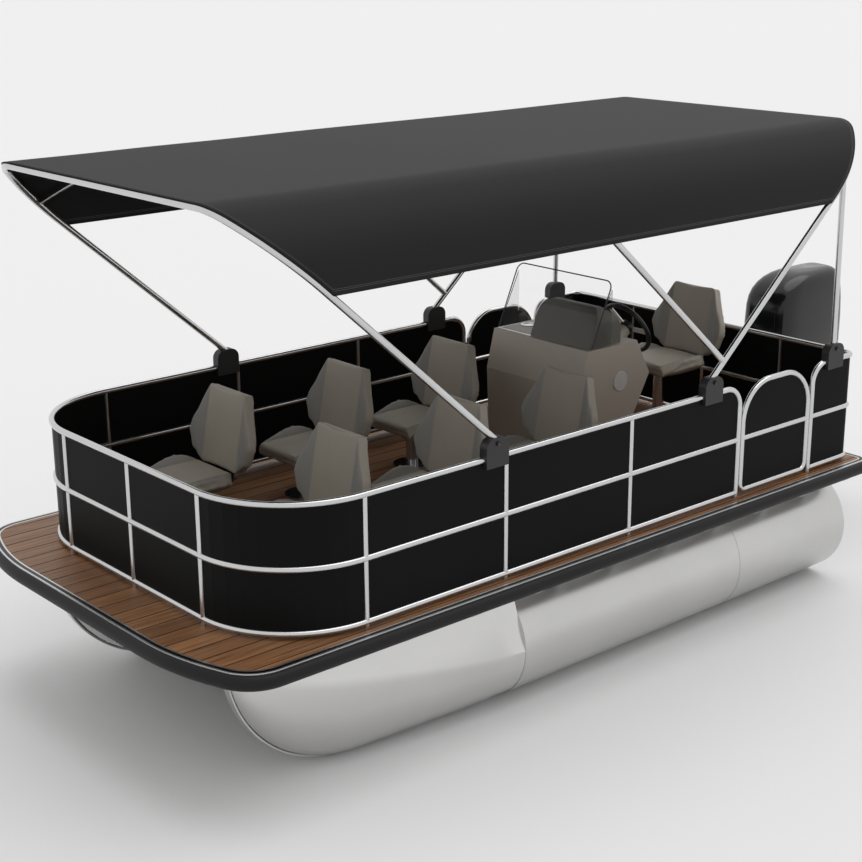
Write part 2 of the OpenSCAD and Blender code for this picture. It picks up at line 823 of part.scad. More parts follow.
// Canopy
// Hoop from its feet to a crossbar, both given as a distance aft and a height. Each shoulder has a wide
// bend at the leg and a tight one at the crossbar, and a short sleeve covers the joint between them.
module hoop(r, foot_d, foot_z, bar_d, bar_z) {
    reach = norm([foot_d - bar_d, bar_z - foot_z]);
    leg = reach - shoulder_leg;
    bar_half = fence_y - shoulder_bar;
    slack = asin(gap / corner_r);
    translate([at(foot_d), 0, foot_z]) rotate([0, -atan2(bar_z - foot_z, foot_d - bar_d), 0]) {
        both_sides() {
            translate([reach, 0, 0]) rotate([-90, 0, 0]) cylinder(r = r, h = bar_half);
            translate([0, fence_y, 0]) rotate([0, 90, 0]) cylinder(r = r, h = leg);
            translate([leg, fence_y - shoulder_r, 0]) rotate([0, 0, 90]) mirror([0, 1, 0])
                rotate_extrude(angle = shoulder_turn) translate([shoulder_r, 0]) circle(r);
            translate([reach - corner_r, bar_half, 0]) {
                rotate_extrude(angle = corner_turn - slack) translate([corner_r, 0]) circle(r);
                rotate([0, 0, corner_turn]) translate([corner_r, -sleeve_l / 2, 0]) rotate([-90, 0, 0])
                    cylinder(r = r + sleeve_t, h = sleeve_l);
            }
        }
    }
}

// How far a hoop has bent inwards at a length past the end of its straight leg
function hoop_bend(past) = shoulder_r - sqrt(pow(shoulder_r, 2) - pow(past, 2));

module front_leg(r) {
    both_sides() translate([0, fence_y, 0]) rod(r, at(mount_1_d), pivot_z, at(front_bar_d), crossbar_z);
}

module rear_leg(r) {
    both_sides() translate([0, fence_y, 0]) rod(r, at(mount_2_d), pivot_z, at(rear_bar_d), crossbar_z);
}

module hoop_front() { color("silver") front_hoop(hoop_r); }
module hoop_rear() { color("silver") rear_hoop(hoop_r); }

module front_hoop(r) {
    hoop(r, mount_1_d, pivot_z, front_bar_d, crossbar_z);
}

module rear_hoop(r) {
    hoop(r, mount_2_d, pivot_z, rear_bar_d, crossbar_z);
}

module hoop_mid() {
    color("silver") difference() {
        hoop(hoop_r, mid_foot_d, mid_foot_z, mid_bar_d, crossbar_z);
        rear_leg(hoop_r + gap);
    }
}

// The small hoop is pinned to the inside of the front legs and rises in one arc at each side
module hoop_small() {
    bar_z = crossbar_z + hoop_r - small_r;
    leg = norm([mount_1_d - front_bar_d, hoop_top - pivot_h]);
    foot = leg * (hoop_top - small_foot_h) / (hoop_top - pivot_h);
    half = fence_y - hoop_bend(shoulder_leg - foot) - hoop_r - small_r - gap;
    rise = norm([small_foot_d - small_bar_d, bar_z - small_foot_z]);
    color("silver") difference() {
        translate([at(small_foot_d), -half, small_foot_z])
            rotate([0, -atan2(bar_z - small_foot_z, small_foot_d - small_bar_d), 0])
                sweep_run([[0, 90, rise, 0], [2 * (half - rise), 90, rise, 0]]) circle(small_r);
        front_hoop(hoop_r + gap);
    }
}

// The braces lean inwards to meet the rear hoop where it has begun to bend
module canopy_braces() {
    brace_h = (crossbar_z - pivot_z) * (mount_3_d - mount_2_d) / (rear_bar_d - mount_2_d);
    left = norm([rear_bar_d - mount_3_d, crossbar_z - pivot_z - brace_h]);
    lean = hoop_bend(shoulder_leg - left);
    color("silver") difference() {
        both_sides() translate([at(mount_3_d), fence_y, pivot_z]) rotate([atan2(lean, brace_h), 0, 0])
            cylinder(r = brace_r, h = norm([lean, brace_h]));
        rear_hoop(hoop_r + gap);
    }
}

module mount_block(d) {
    translate([at(d), fence_y + mount_t / 2, top_z - mount_low]) rotate([90, 0, 0]) linear_extrude(mount_t) {
        translate([-mount_l / 2, 0]) square([mount_l, mount_h - mount_r]);
        translate([mount_r - mount_l / 2, 0]) square([mount_l - 2 * mount_r, mount_h]);
        for (s = [-1, 1]) translate([s * (mount_l / 2 - mount_r), mount_h - mount_r]) circle(mount_r);
    }
}

module canopy_mounts() {
    color("black") difference() {
        both_sides() for (d = [mount_1_d, mount_2_d, mount_3_d]) mount_block(d);
        both_sides() translate([at(stern_d), fence_y, top_z]) rotate([0, 90, 0])
            cylinder(r = rail_r + gap, h = stern_d);
        both_sides() translate([at(stern_d), fence_y - panel_t / 2 - gap, top_z - 2 * mount_low])
            cube([stern_d, panel_t + 2 * gap, 2 * mount_low]);
        for (x = side_post_xs()) both_sides() translate([x, fence_y, deck_z])
            cylinder(r = fence_post_r + gap, h = rail_top);
        front_leg(hoop_r + gap);
        rear_leg(hoop_r + gap);
        both_sides() translate([at(mount_3_d), fence_y, pivot_z - gap])
            cylinder(r = brace_r + gap, h = mount_h);
    }
}

// Section of the canopy over the hoops, at a distance e outside their middle line
module canopy_section(e) {
    fall = (crossbar_z - mid_foot_z) / norm([mid_foot_d - mid_bar_d, crossbar_z - mid_foot_z]);
    bar_half = fence_y - shoulder_bar;
    leg_bend = [for (k = [0:canopy_steps]) let (a = 90 - shoulder_turn * k / canopy_steps)
        [fence_y - shoulder_r + (shoulder_r + e) * sin(a),
            e * cos(a) - fall * (shoulder_leg - shoulder_r * cos(a))]];
    bar_bend = [for (k = [1:canopy_steps]) let (a = corner_turn * (1 - k / canopy_steps))
        [bar_half + (corner_r + e) * sin(a), e * cos(a) - fall * corner_r * (1 - cos(a))]];
    right = concat([[fence_y + e, canopy_low - hoop_top - shoulder_r]], leg_bend, bar_bend);
    polygon(concat(right, [for (k = [len(right) - 1:-1:0]) [-right[k][0], right[k][1]]]));
}

module canopy() {
    inner = hoop_r + canopy_gap;
    low = deck_z + canopy_low;
    high = crossbar_z + 2 * inner + canopy_t;
    front = (mount_1_d - front_bar_d) / (crossbar_z - pivot_z);
    rear = (rear_bar_d - mount_2_d) / (crossbar_z - pivot_z);
    color("dimgray") intersection() {
        translate([at(rear_bar_d) - beam, 0, crossbar_z]) rotate([90, 0, 90]) linear_extrude(overall_l + beam)
            difference() {
                canopy_section(inner + canopy_t);
                canopy_section(inner);
            }
        translate([0, beam, 0]) rotate([90, 0, 0]) linear_extrude(2 * beam)
            polygon([[at(mount_1_d) + front * (low - pivot_z), low],
                [at(mount_2_d) - rear * (low - pivot_z), low],
                [at(mount_2_d) - rear * (high - pivot_z), high],
                [at(mount_1_d) + front * (high - pivot_z), high]]);
    }
}

// Seats
module pedestal(lift) {
    top = seat_h + lift - cushion_t - bracket_t - hub_h - 2 * gap;
    cylinder(r = base_r, h = base_t);
    cylinder(r = post_r, h = top);
    cylinder(r = spigot_r, h = top + hub_h - over);
}

module seat_pedestals() {
    color("gray") {
        for (s = seat_rows) translate(seat_place(s)) pedestal(0);
        translate([at(helm_d), helm_y, deck_z]) pedestal(helm_lift);
    }
}

function seat_place(s) =
    [at(seat_d + seat_pitch * s[0]), s[1] > 0 ? seat_port_y : -seat_star_y, deck_z];

// Hub, plate under the cushion and plate behind the back
module seat_bracket() {
    plate_z = seat_h - cushion_t - bracket_t - gap;
    rear = pad_back_d + back_t + bracket_t * 2;
    difference() {
        union() {
            translate([-rear, -bracket_w / 2, plate_z]) cube([rear + bracket_front, bracket_w, bracket_t]);
            translate([0, 0, plate_z - hub_h]) cylinder(r = hub_r, h = hub_h);
            translate([-pad_back_d, 0, pad_back_z]) rotate([0, -recline, 0])
                translate([-back_t - gap - bracket_t, -bracket_w / 2, plate_z - pad_back_z])
                    cube([bracket_t, bracket_w, bracket_up + pad_back_z - plate_z]);
        }
        translate([0, 0, plate_z - hub_h - over]) cylinder(r = spigot_r + run, h = hub_h + over);
        translate([-2 * rear, -bracket_w, plate_z - hub_h - over]) cube([rear, 2 * bracket_w, hub_h + over]);
    }
}

module seat_pads() {
    back_wings = concat([[-back_t, 0]], [for (p = back_wing_shares) [p[0] * wing_w, p[1] * back_h]],
        [[-back_t, back_h]]);
    cushion_wings = concat([[0, -cushion_t]],
        [for (p = cushion_wing_shares) [p[0] * cushion_l, p[1] * bolster_w]], [[cushion_l, -cushion_t]]);
    translate([-pad_back_d, 0, pad_back_z]) rotate([0, -recline, 0]) {
        translate([-back_t, -pad_w / 2, 0]) cube([back_t, pad_w, back_h]);
        both_sides() intersection() {
            translate([0, pad_w / 2, 0]) rotate([0, 0, -back_flare]) translate([-back_t, 0, 0])
                rotate([90, 0, 90]) linear_extrude(back_t) polygon(back_wings);
            translate([-back_t, 0, 0]) cube([pad_w, pad_w, back_h]);
        }
    }
    translate([-pad_rear_d, 0, seat_h]) {
        translate([0, -pad_w / 2, -cushion_t]) cube([cushion_l, pad_w, cushion_t]);
        both_sides() intersection() {
            translate([0, pad_w / 2, 0]) rotate([cushion_flare, 0, 0]) translate([0, 0, -cushion_t])
                linear_extrude(cushion_t) polygon(cushion_wings);
            translate([0, 0, -cushion_t]) cube([cushion_l, pad_w, pad_w]);
        }
    }
}

module seat_1_bracket() { color("black") translate(seat_place(seat_rows[0])) seat_bracket(); }
module seat_1_pads() { color("tan") translate(seat_place(seat_rows[0])) seat_pads(); }
module seat_2_bracket() { color("black") translate(seat_place(seat_rows[1])) seat_bracket(); }
module seat_2_pads() { color("tan") translate(seat_place(seat_rows[1])) seat_pads(); }
module seat_3_bracket() { color("black") translate(seat_place(seat_rows[2])) seat_bracket(); }
module seat_3_pads() { color("tan") translate(seat_place(seat_rows[2])) seat_pads(); }
module seat_4_bracket() { color("black") translate(seat_place(seat_rows[3])) seat_bracket(); }
module seat_4_pads() { color("tan") translate(seat_place(seat_rows[3])) seat_pads(); }
module seat_5_bracket() { color("black") translate(seat_place(seat_rows[4])) seat_bracket(); }
module seat_5_pads() { color("tan") translate(seat_place(seat_rows[4])) seat_pads(); }
module seat_6_bracket() { color("black") translate(seat_place(seat_rows[5])) seat_bracket(); }
module seat_6_pads() { color("tan") translate(seat_place(seat_rows[5])) seat_pads(); }

module helm_bracket() { color("black") translate([at(helm_d), helm_y, deck_z + helm_lift]) seat_bracket(); }
module helm_pads() { color("tan") translate([at(helm_d), helm_y, deck_z + helm_lift]) seat_pads(); }

// Helm
module wheel_frame() {
    translate([wheel_x, wheel_y, wheel_z]) rotate([0, -90 + wheel_tilt, 0]) children();
}

module console() {
    pts = [for (p = console_shares) [p[0] * console_l, p[1] * console_h]];
    color("tan") difference() {
        union() {
            translate([console_top_x, console_y + console_w / 2, deck_z]) rotate([90, 0, 0])
                linear_extrude(console_w) polygon(pts);
            wheel_frame() translate([0, 0, -shaft_l - hub_wheel_l / 2 - gap])
                cylinder(r = boss_r, h = shaft_l);
        }
        wheel_frame() translate([0, 0, -shaft_l - gap]) cylinder(r = shaft_r + run, h = shaft_l);
        translate([console_top_x - cup_back, console_y + cup_off, deck_z + console_h - cup_h])
            cylinder(r = cup_r, h = cup_h + over);
    }
}

// Pod behind the windscreen, its front parallel to the glass
module dash_pod() {
    rake = screen_rake_l / screen_h;
    pts = [for (p = dash_shares) [p[0] * dash_l - p[2] * rake * p[1] * dash_h, p[1] * dash_h]];
    color("tan") translate([console_top_x - screen_foot - dash_inset, dash_y, deck_z + console_h])
        intersection() {
            translate([0, dash_w / 2, 0]) rotate([90, 0, 0]) linear_extrude(dash_w) polygon(pts);
            translate([-dash_l, 0, 0]) rotate([90, 0, 90]) linear_extrude(2 * dash_l) {
                translate([-dash_w / 2, 0]) square([dash_w, dash_h - dash_r]);
                translate([dash_r - dash_w / 2, 0]) square([dash_w - 2 * dash_r, dash_h]);
                for (s = [-1, 1]) translate([s * (dash_w / 2 - dash_r), dash_h - dash_r]) circle(dash_r);
            }
        }
}

module windscreen() {
    slant = norm([screen_rake_l, screen_h]);
    half = console_w / 2 - screen_in;
    color("lightblue", 0.5) translate([console_top_x - screen_foot, console_y, deck_z + console_h + gap]) {
        difference() {
            rotate([0, -atan2(screen_rake_l, screen_h), 0]) translate([-screen_t, 0, 0])
                rotate([90, 0, 90]) linear_extrude(screen_t) {
                    translate([-half, 0]) square([2 * half, slant - screen_r]);
                    translate([screen_r - half, 0]) square([2 * (half - screen_r), slant]);
                    for (s = [-1, 1]) translate([s * (half - screen_r), slant - screen_r]) circle(screen_r);
                }
            translate([-screen_rake_l, -console_w, -screen_t])
                cube([2 * screen_rake_l, 2 * console_w, screen_t]);
        }
        for (s = [0, 1]) mirror([0, s, 0]) translate([0, half, 0]) rotate([90, 0, 0]) linear_extrude(screen_t)
            polygon([[-screen_t, 0], [-screen_rake_l, screen_h - screen_r], [-screen_rake_l, 0]]);
    }
}

module steering_wheel() {
    color("black") wheel_frame() {
        rotate_extrude() translate([wheel_r, 0]) circle(rim_r);
        translate([0, 0, -hub_wheel_l / 2]) cylinder(r = hub_wheel_r, h = hub_wheel_l);
        translate([0, 0, -shaft_l]) cylinder(r = shaft_r, h = shaft_l);
        for (a = spoke_angles) rotate([0, 0, a]) translate([0, -spoke_w / 2, -spoke_t / 2])
            cube([wheel_r, spoke_w, spoke_t]);
    }
}

// Motor
module motor_pod() {
    color("silver") translate([0, pod_w / 2, 0]) rotate([90, 0, 0]) linear_extrude(pod_w)
        polygon([[at(stern_d - pod_fore), riser_z], [at(stern_d - pod_fore), riser_z - pod_nose_h],
            [transom_x, pod_low_z], [transom_x, transom_z], [transom_x + transom_t, transom_z],
            [transom_x + transom_t, well_z], [at(stern_d + pod_well), well_z],
            [at(stern_d + pod_well), riser_z]]);
}

module cheek() {
    difference() {
        union() {
            translate([tilt_x, tilt_z]) circle(cheek_r);
            translate([transom_x - cheek_leg_t, transom_z - cheek_back_h])
                square([cheek_leg_t, cheek_back_h + tilt_h]);
            translate([transom_x - cheek_leg_t, transom_z]) square([transom_t + 2 * cheek_leg_t, tilt_h]);
            translate([transom_x + transom_t, transom_z - cheek_front_h])
                square([cheek_leg_t, cheek_front_h + over]);
        }
        translate([transom_x - gap, transom_z - overall_l]) square([transom_t + 2 * gap, overall_l + gap]);
    }
}

module motor_clamp() {
    color("dimgray") {
        both_sides() translate([0, cheek_in + cheek_t, 0]) rotate([90, 0, 0]) linear_extrude(cheek_t) cheek();
        translate([tilt_x, cheek_in + over, tilt_z]) rotate([90, 0, 0])
            cylinder(r = tilt_pin_r, h = 2 * (cheek_in + over));
    }
}

module motor_swivel() {
    barrel_l = 2 * (cheek_in - over);
    color("dimgray") difference() {
        union() {
            translate([tilt_x, barrel_l / 2, tilt_z]) rotate([90, 0, 0]) cylinder(r = barrel_r, h = barrel_l);
            translate([steer_x, -swivel_w / 2, tilt_z - barrel_r])
                cube([tilt_x - steer_x, swivel_w, barrel_r + tube_up / 2]);
            translate([steer_x, 0, tilt_z - tube_low]) cylinder(r = tube_r, h = tube_low + tube_up);
            translate([steer_x, -tube_r, tilt_z - tube_low])
                cube([steer_back - cheek_leg_t, 2 * tube_r, tube_low]);
        }
        translate([tilt_x, barrel_l, tilt_z]) rotate([90, 0, 0])
            cylinder(r = tilt_pin_r + run, h = 2 * barrel_l);
        translate([steer_x, 0, tilt_z - tube_low - over])
            cylinder(r = steer_pin_r + run, h = tube_low + tube_up + 2 * over);
    }
}

module motor_leg() {
    mid_x = steer_x - leg_back;
    up_z = tilt_z + tube_up + gap;
    low_yoke_z = tilt_z - tube_low - gap - yoke_t;
    color("black") {
        translate([mid_x, 0, plate_z + plate_t]) linear_extrude(leg_top_z - plate_z - plate_t)
            lens(leg_chord, leg_w);
        translate([steer_x, 0, low_yoke_z]) cylinder(r = steer_pin_r, h = up_z + yoke_t - low_yoke_z);
        for (z = [low_yoke_z, up_z]) {
            translate([steer_x, 0, z]) cylinder(r = tube_r, h = yoke_t);
            translate([mid_x, -tube_r, z]) cube([leg_back, 2 * tube_r, yoke_t]);
        }
        translate([steer_x + pan_front - pan_l / 2, 0, leg_top_z]) linear_extrude(cowl_z - leg_top_z - gap)
            lens(pan_l, pan_w);
    }
}

module motor_gearcase() {
    mid_x = steer_x - leg_back;
    nose_x = mid_x + leg_chord / 2 + gear_front;
    color("black") {
        translate([mid_x - plate_back, 0, plate_z]) linear_extrude(plate_t) lens(plate_l, plate_w);
        translate([mid_x, 0, prop_z]) linear_extrude(plate_z - prop_z) lens(leg_chord, strut_w);
        translate([nose_x, 0, prop_z]) rotate([0, -90, 0]) {
            translate([0, 0, gear_nose]) cylinder(r = gear_r, h = gear_l - gear_nose);
            translate([0, 0, gear_nose]) sphere(gear_r);
            cylinder(r = prop_shaft_r, h = gear_l + prop_hub_l);
        }
        translate([nose_x - gear_l, skeg_t / 2, prop_z]) rotate([90, 0, 0]) linear_extrude(skeg_t)
            polygon([for (p = skeg_shares) [(1 - p[0]) * gear_l, -p[1] * (prop_z - skeg_low)]]);
    }
}

module propeller() {
    nose_x = steer_x - leg_back + leg_chord / 2 + gear_front;
    color("black") translate([nose_x - gear_l - prop_gap, 0, prop_z]) rotate([0, -90, 0]) difference() {
        union() {
            cylinder(r = prop_hub_r, h = prop_hub_l);
            for (i = [0:prop_count - 1]) rotate([0, 0, 360 / prop_count * i])
                translate([prop_r - blade_r, 0, prop_hub_l / 2]) rotate([blade_pitch, 0, 0])
                    translate([0, 0, -blade_t / 2]) cylinder(r = blade_r, h = blade_t);
        }
        translate([0, 0, -over]) cylinder(r = prop_shaft_r + run, h = prop_hub_l + 2 * over);
    }
}

// Ring of the cowl with rounded corners, from a row of height, front, back and half width
function cowl_ring(row) =
    let (mid = (row[1] + row[2]) / 2,
        half = (row[2] - row[1]) / 2)
    [for (k = [0:cowl_steps - 1]) let (a = 360 * k / cowl_steps, c = cos(a), d = sin(a))
        [steer_x - cowl_back + cowl_l * (1 - mid + half * sign(c) * pow(abs(c), cowl_square_share)),
            cowl_w / 2 * row[3] * sign(d) * pow(abs(d), cowl_square_share),
            cowl_z + cowl_h * row[0]]];

module motor_cowl() {
    color("black") skin([for (row = cowl_ring_shares) cowl_ring(row)]);
}

pontoon_port();
pontoon_starboard();
nose_port();
nose_starboard();
keel_strips();
crossmembers();
deck_board();
deck_planks();
deck_edge();
bumper();
fence_fore();
fence_fore_panels();
fence_stern();
fence_stern_panels();
gate_port_frame();
gate_port_panels();
gate_starboard_frame();
gate_starboard_panels();
canopy_mounts();
hoop_front();
hoop_small();
hoop_mid();
hoop_rear();
canopy_braces();
canopy();
seat_pedestals();
seat_1_bracket();
seat_1_pads();
seat_2_bracket();
seat_2_pads();
seat_3_bracket();
seat_3_pads();
seat_4_bracket();
seat_4_pads();
seat_5_bracket();
seat_5_pads();
seat_6_bracket();
seat_6_pads();
helm_bracket();
helm_pads();
console();
dash_pod();
windscreen();
steering_wheel();
motor_pod();
motor_clamp();
motor_swivel();
motor_leg();
motor_cowl();
motor_gearcase();
propeller();
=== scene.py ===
import math

import bpy
from mathutils import Matrix, Vector


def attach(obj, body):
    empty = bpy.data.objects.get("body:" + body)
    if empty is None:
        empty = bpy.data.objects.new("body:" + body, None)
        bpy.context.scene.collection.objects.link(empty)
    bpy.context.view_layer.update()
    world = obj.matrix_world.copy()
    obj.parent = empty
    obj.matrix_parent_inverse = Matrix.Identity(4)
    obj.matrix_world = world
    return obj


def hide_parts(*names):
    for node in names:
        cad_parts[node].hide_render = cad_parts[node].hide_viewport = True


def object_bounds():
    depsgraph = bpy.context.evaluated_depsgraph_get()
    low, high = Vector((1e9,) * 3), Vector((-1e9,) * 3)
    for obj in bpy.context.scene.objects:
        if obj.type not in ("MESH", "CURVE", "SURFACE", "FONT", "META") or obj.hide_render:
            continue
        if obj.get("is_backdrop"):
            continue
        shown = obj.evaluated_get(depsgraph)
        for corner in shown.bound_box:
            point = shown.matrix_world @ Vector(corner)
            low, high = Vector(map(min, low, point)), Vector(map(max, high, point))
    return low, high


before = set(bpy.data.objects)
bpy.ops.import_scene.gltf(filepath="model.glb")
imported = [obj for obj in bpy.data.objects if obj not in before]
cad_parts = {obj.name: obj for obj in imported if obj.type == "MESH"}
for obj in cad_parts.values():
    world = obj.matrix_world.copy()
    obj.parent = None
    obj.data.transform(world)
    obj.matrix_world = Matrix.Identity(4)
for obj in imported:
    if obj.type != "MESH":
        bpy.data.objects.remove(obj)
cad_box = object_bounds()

# Studio: a pale floor without an edge, one broad soft lamp high over the stern and an even sky,
# seen from the port bow and a little above the canopy, as in the photograph.
camera_place = Vector((6.4542, 6.6637, 3.9675))
camera_yaw = math.radians(229.1213)
camera_pitch = math.radians(-17.3537)
camera_roll = math.radians(-0.3546)
ahead = Vector((math.cos(camera_yaw) * math.cos(camera_pitch),
                math.sin(camera_yaw) * math.cos(camera_pitch), math.sin(camera_pitch)))
level = Vector((math.sin(camera_yaw), -math.cos(camera_yaw), 0))
above = level.cross(ahead)
across = level * math.cos(camera_roll) + above * math.sin(camera_roll)
upward = above * math.cos(camera_roll) - level * math.sin(camera_roll)
bpy.ops.object.select_all(action="DESELECT")
bpy.ops.object.camera_add()
camera = bpy.context.object
camera.data.sensor_width = 36
camera.data.lens = 67.88
camera.data.clip_end = 400
camera_turn = Matrix((across, upward, -ahead)).transposed().to_4x4()
camera.matrix_world = Matrix.Translation(camera_place) @ camera_turn
bpy.context.scene.camera = camera
bpy.context.scene.view_settings.view_transform = "Standard"

floor_size, floor_colour = 300, (0.8, 0.8, 0.8, 1)
bpy.ops.mesh.primitive_plane_add(size=floor_size)
floor = bpy.context.object
floor.name = "floor"
floor_paint = bpy.data.materials.new("floor_paint")
floor_paint.use_nodes = True
floor_shader = floor_paint.node_tree.nodes["Principled BSDF"]
floor_shader.inputs["Base Color"].default_value = floor_colour
floor_shader.inputs["Roughness"].default_value = 0.9
floor_shader.inputs["Specular IOR Level"].default_value = 0.1
floor.data.materials.append(floor_paint)
floor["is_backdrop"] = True

lamp_path = Vector((0.32, -0.04, -0.945))
bpy.ops.object.light_add(type="SUN")
lamp = bpy.context.object
lamp.rotation_euler = lamp_path.to_track_quat("-Z", "Y").to_euler()
lamp.data.energy = 1.15
lamp.data.angle = math.radians(60)


def reckon(tree, operation, *values):
    """A math node on sockets or plain numbers, which gives its result."""
    node = tree.nodes.new("ShaderNodeMath")
    node.operation = operation
    for k, value in enumerate(values):
        if isinstance(value, (int, float)):
            node.inputs[k].default_value = value
        else:
            tree.links.new(value, node.inputs[k])
    return node.outputs[0]


sky = bpy.data.worlds.new("sky")
sky.use_nodes = True
bpy.context.scene.world = sky
sky_nodes, sky_links = sky.node_tree.nodes, sky.node_tree.links
ambient = sky_nodes["Background"]
ambient.inputs["Color"].default_value = (1, 1, 1, 1)
ambient.inputs["Strength"].default_value = 0.74
seen = sky_nodes.new("ShaderNodeBackground")
seen.inputs["Color"].default_value = (0.86, 0.86, 0.86, 1)
ray = sky_nodes.new("ShaderNodeLightPath")
either = reckon(sky.node_tree, "MAXIMUM", ray.outputs["Is Camera Ray"], ray.outputs["Is Glossy Ray"])
shown = reckon(sky.node_tree, "MAXIMUM", either, ray.outputs["Is Transmission Ray"])
sky_mix = sky_nodes.new("ShaderNodeMixShader")
sky_links.new(shown, sky_mix.inputs["Fac"])
sky_links.new(ambient.outputs[0], sky_mix.inputs[1])
sky_links.new(seen.outputs[0], sky_mix.inputs[2])
sky_links.new(sky_mix.outputs[0], sky_nodes["World Output"].inputs["Surface"])

# Pontoons: tubes of rolled and welded aluminium sheet in mill finish, with faint drawing marks along
# the sheet and cloudy patches where it was handled. The pressed noses are brighter.
# The shared group gives two noises over a piece: slow clouds and a fine grain, both from 0 to 1.
uneven = bpy.data.node_groups.new("uneven", "ShaderNodeTree")
for socket, preset in (("Cloud Size", 0.5), ("Grain Size", 0.01), ("Stretch X", 1.0), ("Stretch Z", 1.0)):
    made = uneven.interface.new_socket(socket, in_out="INPUT", socket_type="NodeSocketFloat")
    made.default_value = preset
for socket in ("Cloud", "Grain"):
    uneven.interface.new_socket(socket, in_out="OUTPUT", socket_type="NodeSocketFloat")
group_in = uneven.nodes.new("NodeGroupInput")
group_out = uneven.nodes.new("NodeGroupOutput")
place = uneven.nodes.new("ShaderNodeTexCoord")
stretch = uneven.nodes.new("ShaderNodeCombineXYZ")
stretch.inputs["Y"].default_value = 1
uneven.links.new(group_in.outputs["Stretch X"], stretch.inputs["X"])
uneven.links.new(group_in.outputs["Stretch Z"], stretch.inputs["Z"])
drawn = uneven.nodes.new("ShaderNodeVectorMath")
drawn.operation = "MULTIPLY"
uneven.links.new(place.outputs["Object"], drawn.inputs[0])
uneven.links.new(stretch.outputs[0], drawn.inputs[1])
for size, out, detail in (("Cloud Size", "Cloud", 4), ("Grain Size", "Grain", 2)):
    noise = uneven.nodes.new("ShaderNodeTexNoise")
    noise.inputs["Detail"].default_value = detail
    uneven.links.new(reckon(uneven, "DIVIDE", 1, group_in.outputs[size]), noise.inputs["Scale"])
    uneven.links.new(drawn.outputs[0] if out == "Grain" else place.outputs["Object"], noise.inputs["Vector"])
    uneven.links.new(noise.outputs["Fac"], group_out.inputs[out])


def finish(name, dark, light, rough, cloud=0.5, grain=0.01, bump=0.0002, stretch=(1, 1), **plain):
    """A material between two colours and two roughnesses, with a fine grain that also stands up."""
    made = bpy.data.materials.new(name)
    made.use_nodes = True
    nodes, links = made.node_tree.nodes, made.node_tree.links
    shader = nodes["Principled BSDF"]
    spread = nodes.new("ShaderNodeGroup")
    spread.node_tree = uneven
    spread.name = "spread"
    spread.inputs["Cloud Size"].default_value = cloud
    spread.inputs["Grain Size"].default_value = grain
    spread.inputs["Stretch X"].default_value, spread.inputs["Stretch Z"].default_value = stretch
    tone = nodes.new("ShaderNodeMix")
    tone.name = "tone"
    tone.data_type = "RGBA"
    tone.inputs["A"].default_value = (*dark, 1)
    tone.inputs["B"].default_value = (*light, 1)
    links.new(spread.outputs["Cloud"], tone.inputs["Factor"])
    links.new(tone.outputs["Result"], shader.inputs["Base Color"])
    gloss = nodes.new("ShaderNodeMapRange")
    gloss.inputs["To Min"].default_value, gloss.inputs["To Max"].default_value = rough
    links.new(spread.outputs["Grain"], gloss.inputs["Value"])
    links.new(gloss.outputs["Result"], shader.inputs["Roughness"])
    if bump:
        relief = nodes.new("ShaderNodeBump")
        relief.inputs["Distance"].default_value = bump
        relief.inputs["Strength"].default_value = 0.6
        links.new(spread.outputs["Grain"], relief.inputs["Height"])
        links.new(relief.outputs["Normal"], shader.inputs["Normal"])
    for socket, value in plain.items():
        shader.inputs[socket.replace("_", " ")].default_value = value
    return made


def dress(material, *nodes):
    """Gives CAD nodes a material."""
    for n in nodes:
        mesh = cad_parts[n].data
        mesh.materials.clear()
        mesh.materials.append(material)


def pick(piece):
    """Makes a piece the active one and the only one selected."""
    bpy.ops.object.select_all(action="DESELECT")
    piece.select_set(True)
    bpy.context.view_layer.objects.active = piece


def start(piece, test=None):
    """Opens a piece alone in edit mode, with all its faces selected or those that pass a test."""
    pick(piece)
    bpy.ops.object.mode_set(mode="EDIT")
    bpy.ops.mesh.select_mode(type="FACE")
    bpy.ops.mesh.select_all(action="DESELECT")
    bpy.ops.object.mode_set(mode="OBJECT")
    for face in piece.data.polygons:
        face.select = test is None or test(face)
    bpy.ops.object.mode_set(mode="EDIT")


def keep(piece, name, body, material, place=None):
    """Leaves edit mode, sets a piece down where it belongs and gives it to a body."""
    if piece.mode == "EDIT":
        bpy.ops.object.mode_set(mode="OBJECT")
    if place is not None:
        piece.data.transform(place)
    piece.name = name
    piece.data.materials.clear()
    piece.data.materials.append(material)
    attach(piece, body)


join_gap = 0.00002


def skin_of(node, angle):
    """A copy of a faceted CAD node with its facets joined and shaded round up to an angle."""
    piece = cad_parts[node].copy()
    piece.data = piece.data.copy()
    piece.parent = None
    bpy.context.collection.objects.link(piece)
    start(piece)
    bpy.ops.mesh.remove_doubles(threshold=join_gap)
    bpy.ops.object.mode_set(mode="OBJECT")
    bpy.ops.object.shade_smooth_by_angle(angle=math.radians(angle))
    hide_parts(node)
    return piece


pontoon_metal = finish("pontoon_metal", (0.56, 0.556, 0.55), (0.65, 0.645, 0.638), (0.27, 0.31), cloud=0.45,
                       grain=0.02, bump=0, stretch=(0.03, 1), Metallic=1.0)
nose_metal = finish("nose_metal", (0.6, 0.596, 0.59), (0.7, 0.695, 0.688), (0.13, 0.19), cloud=0.45,
                    grain=0.006, bump=0.00003, stretch=(0.02, 1), Metallic=1.0)
frame_metal = finish("frame_metal", (0.45, 0.455, 0.46), (0.6, 0.605, 0.61), (0.4, 0.55), cloud=0.3,
                     grain=0.004, bump=0.0002, Metallic=1.0)
dress(pontoon_metal, "pontoon_port", "pontoon_starboard", "keel_strips", "motor_pod")
dress(frame_metal, "crossmembers")
crease_angle = 22
for side in ("port", "starboard"):
    keep(skin_of("nose_" + side, crease_angle), "nose_skin_" + side, "hull", nose_metal)

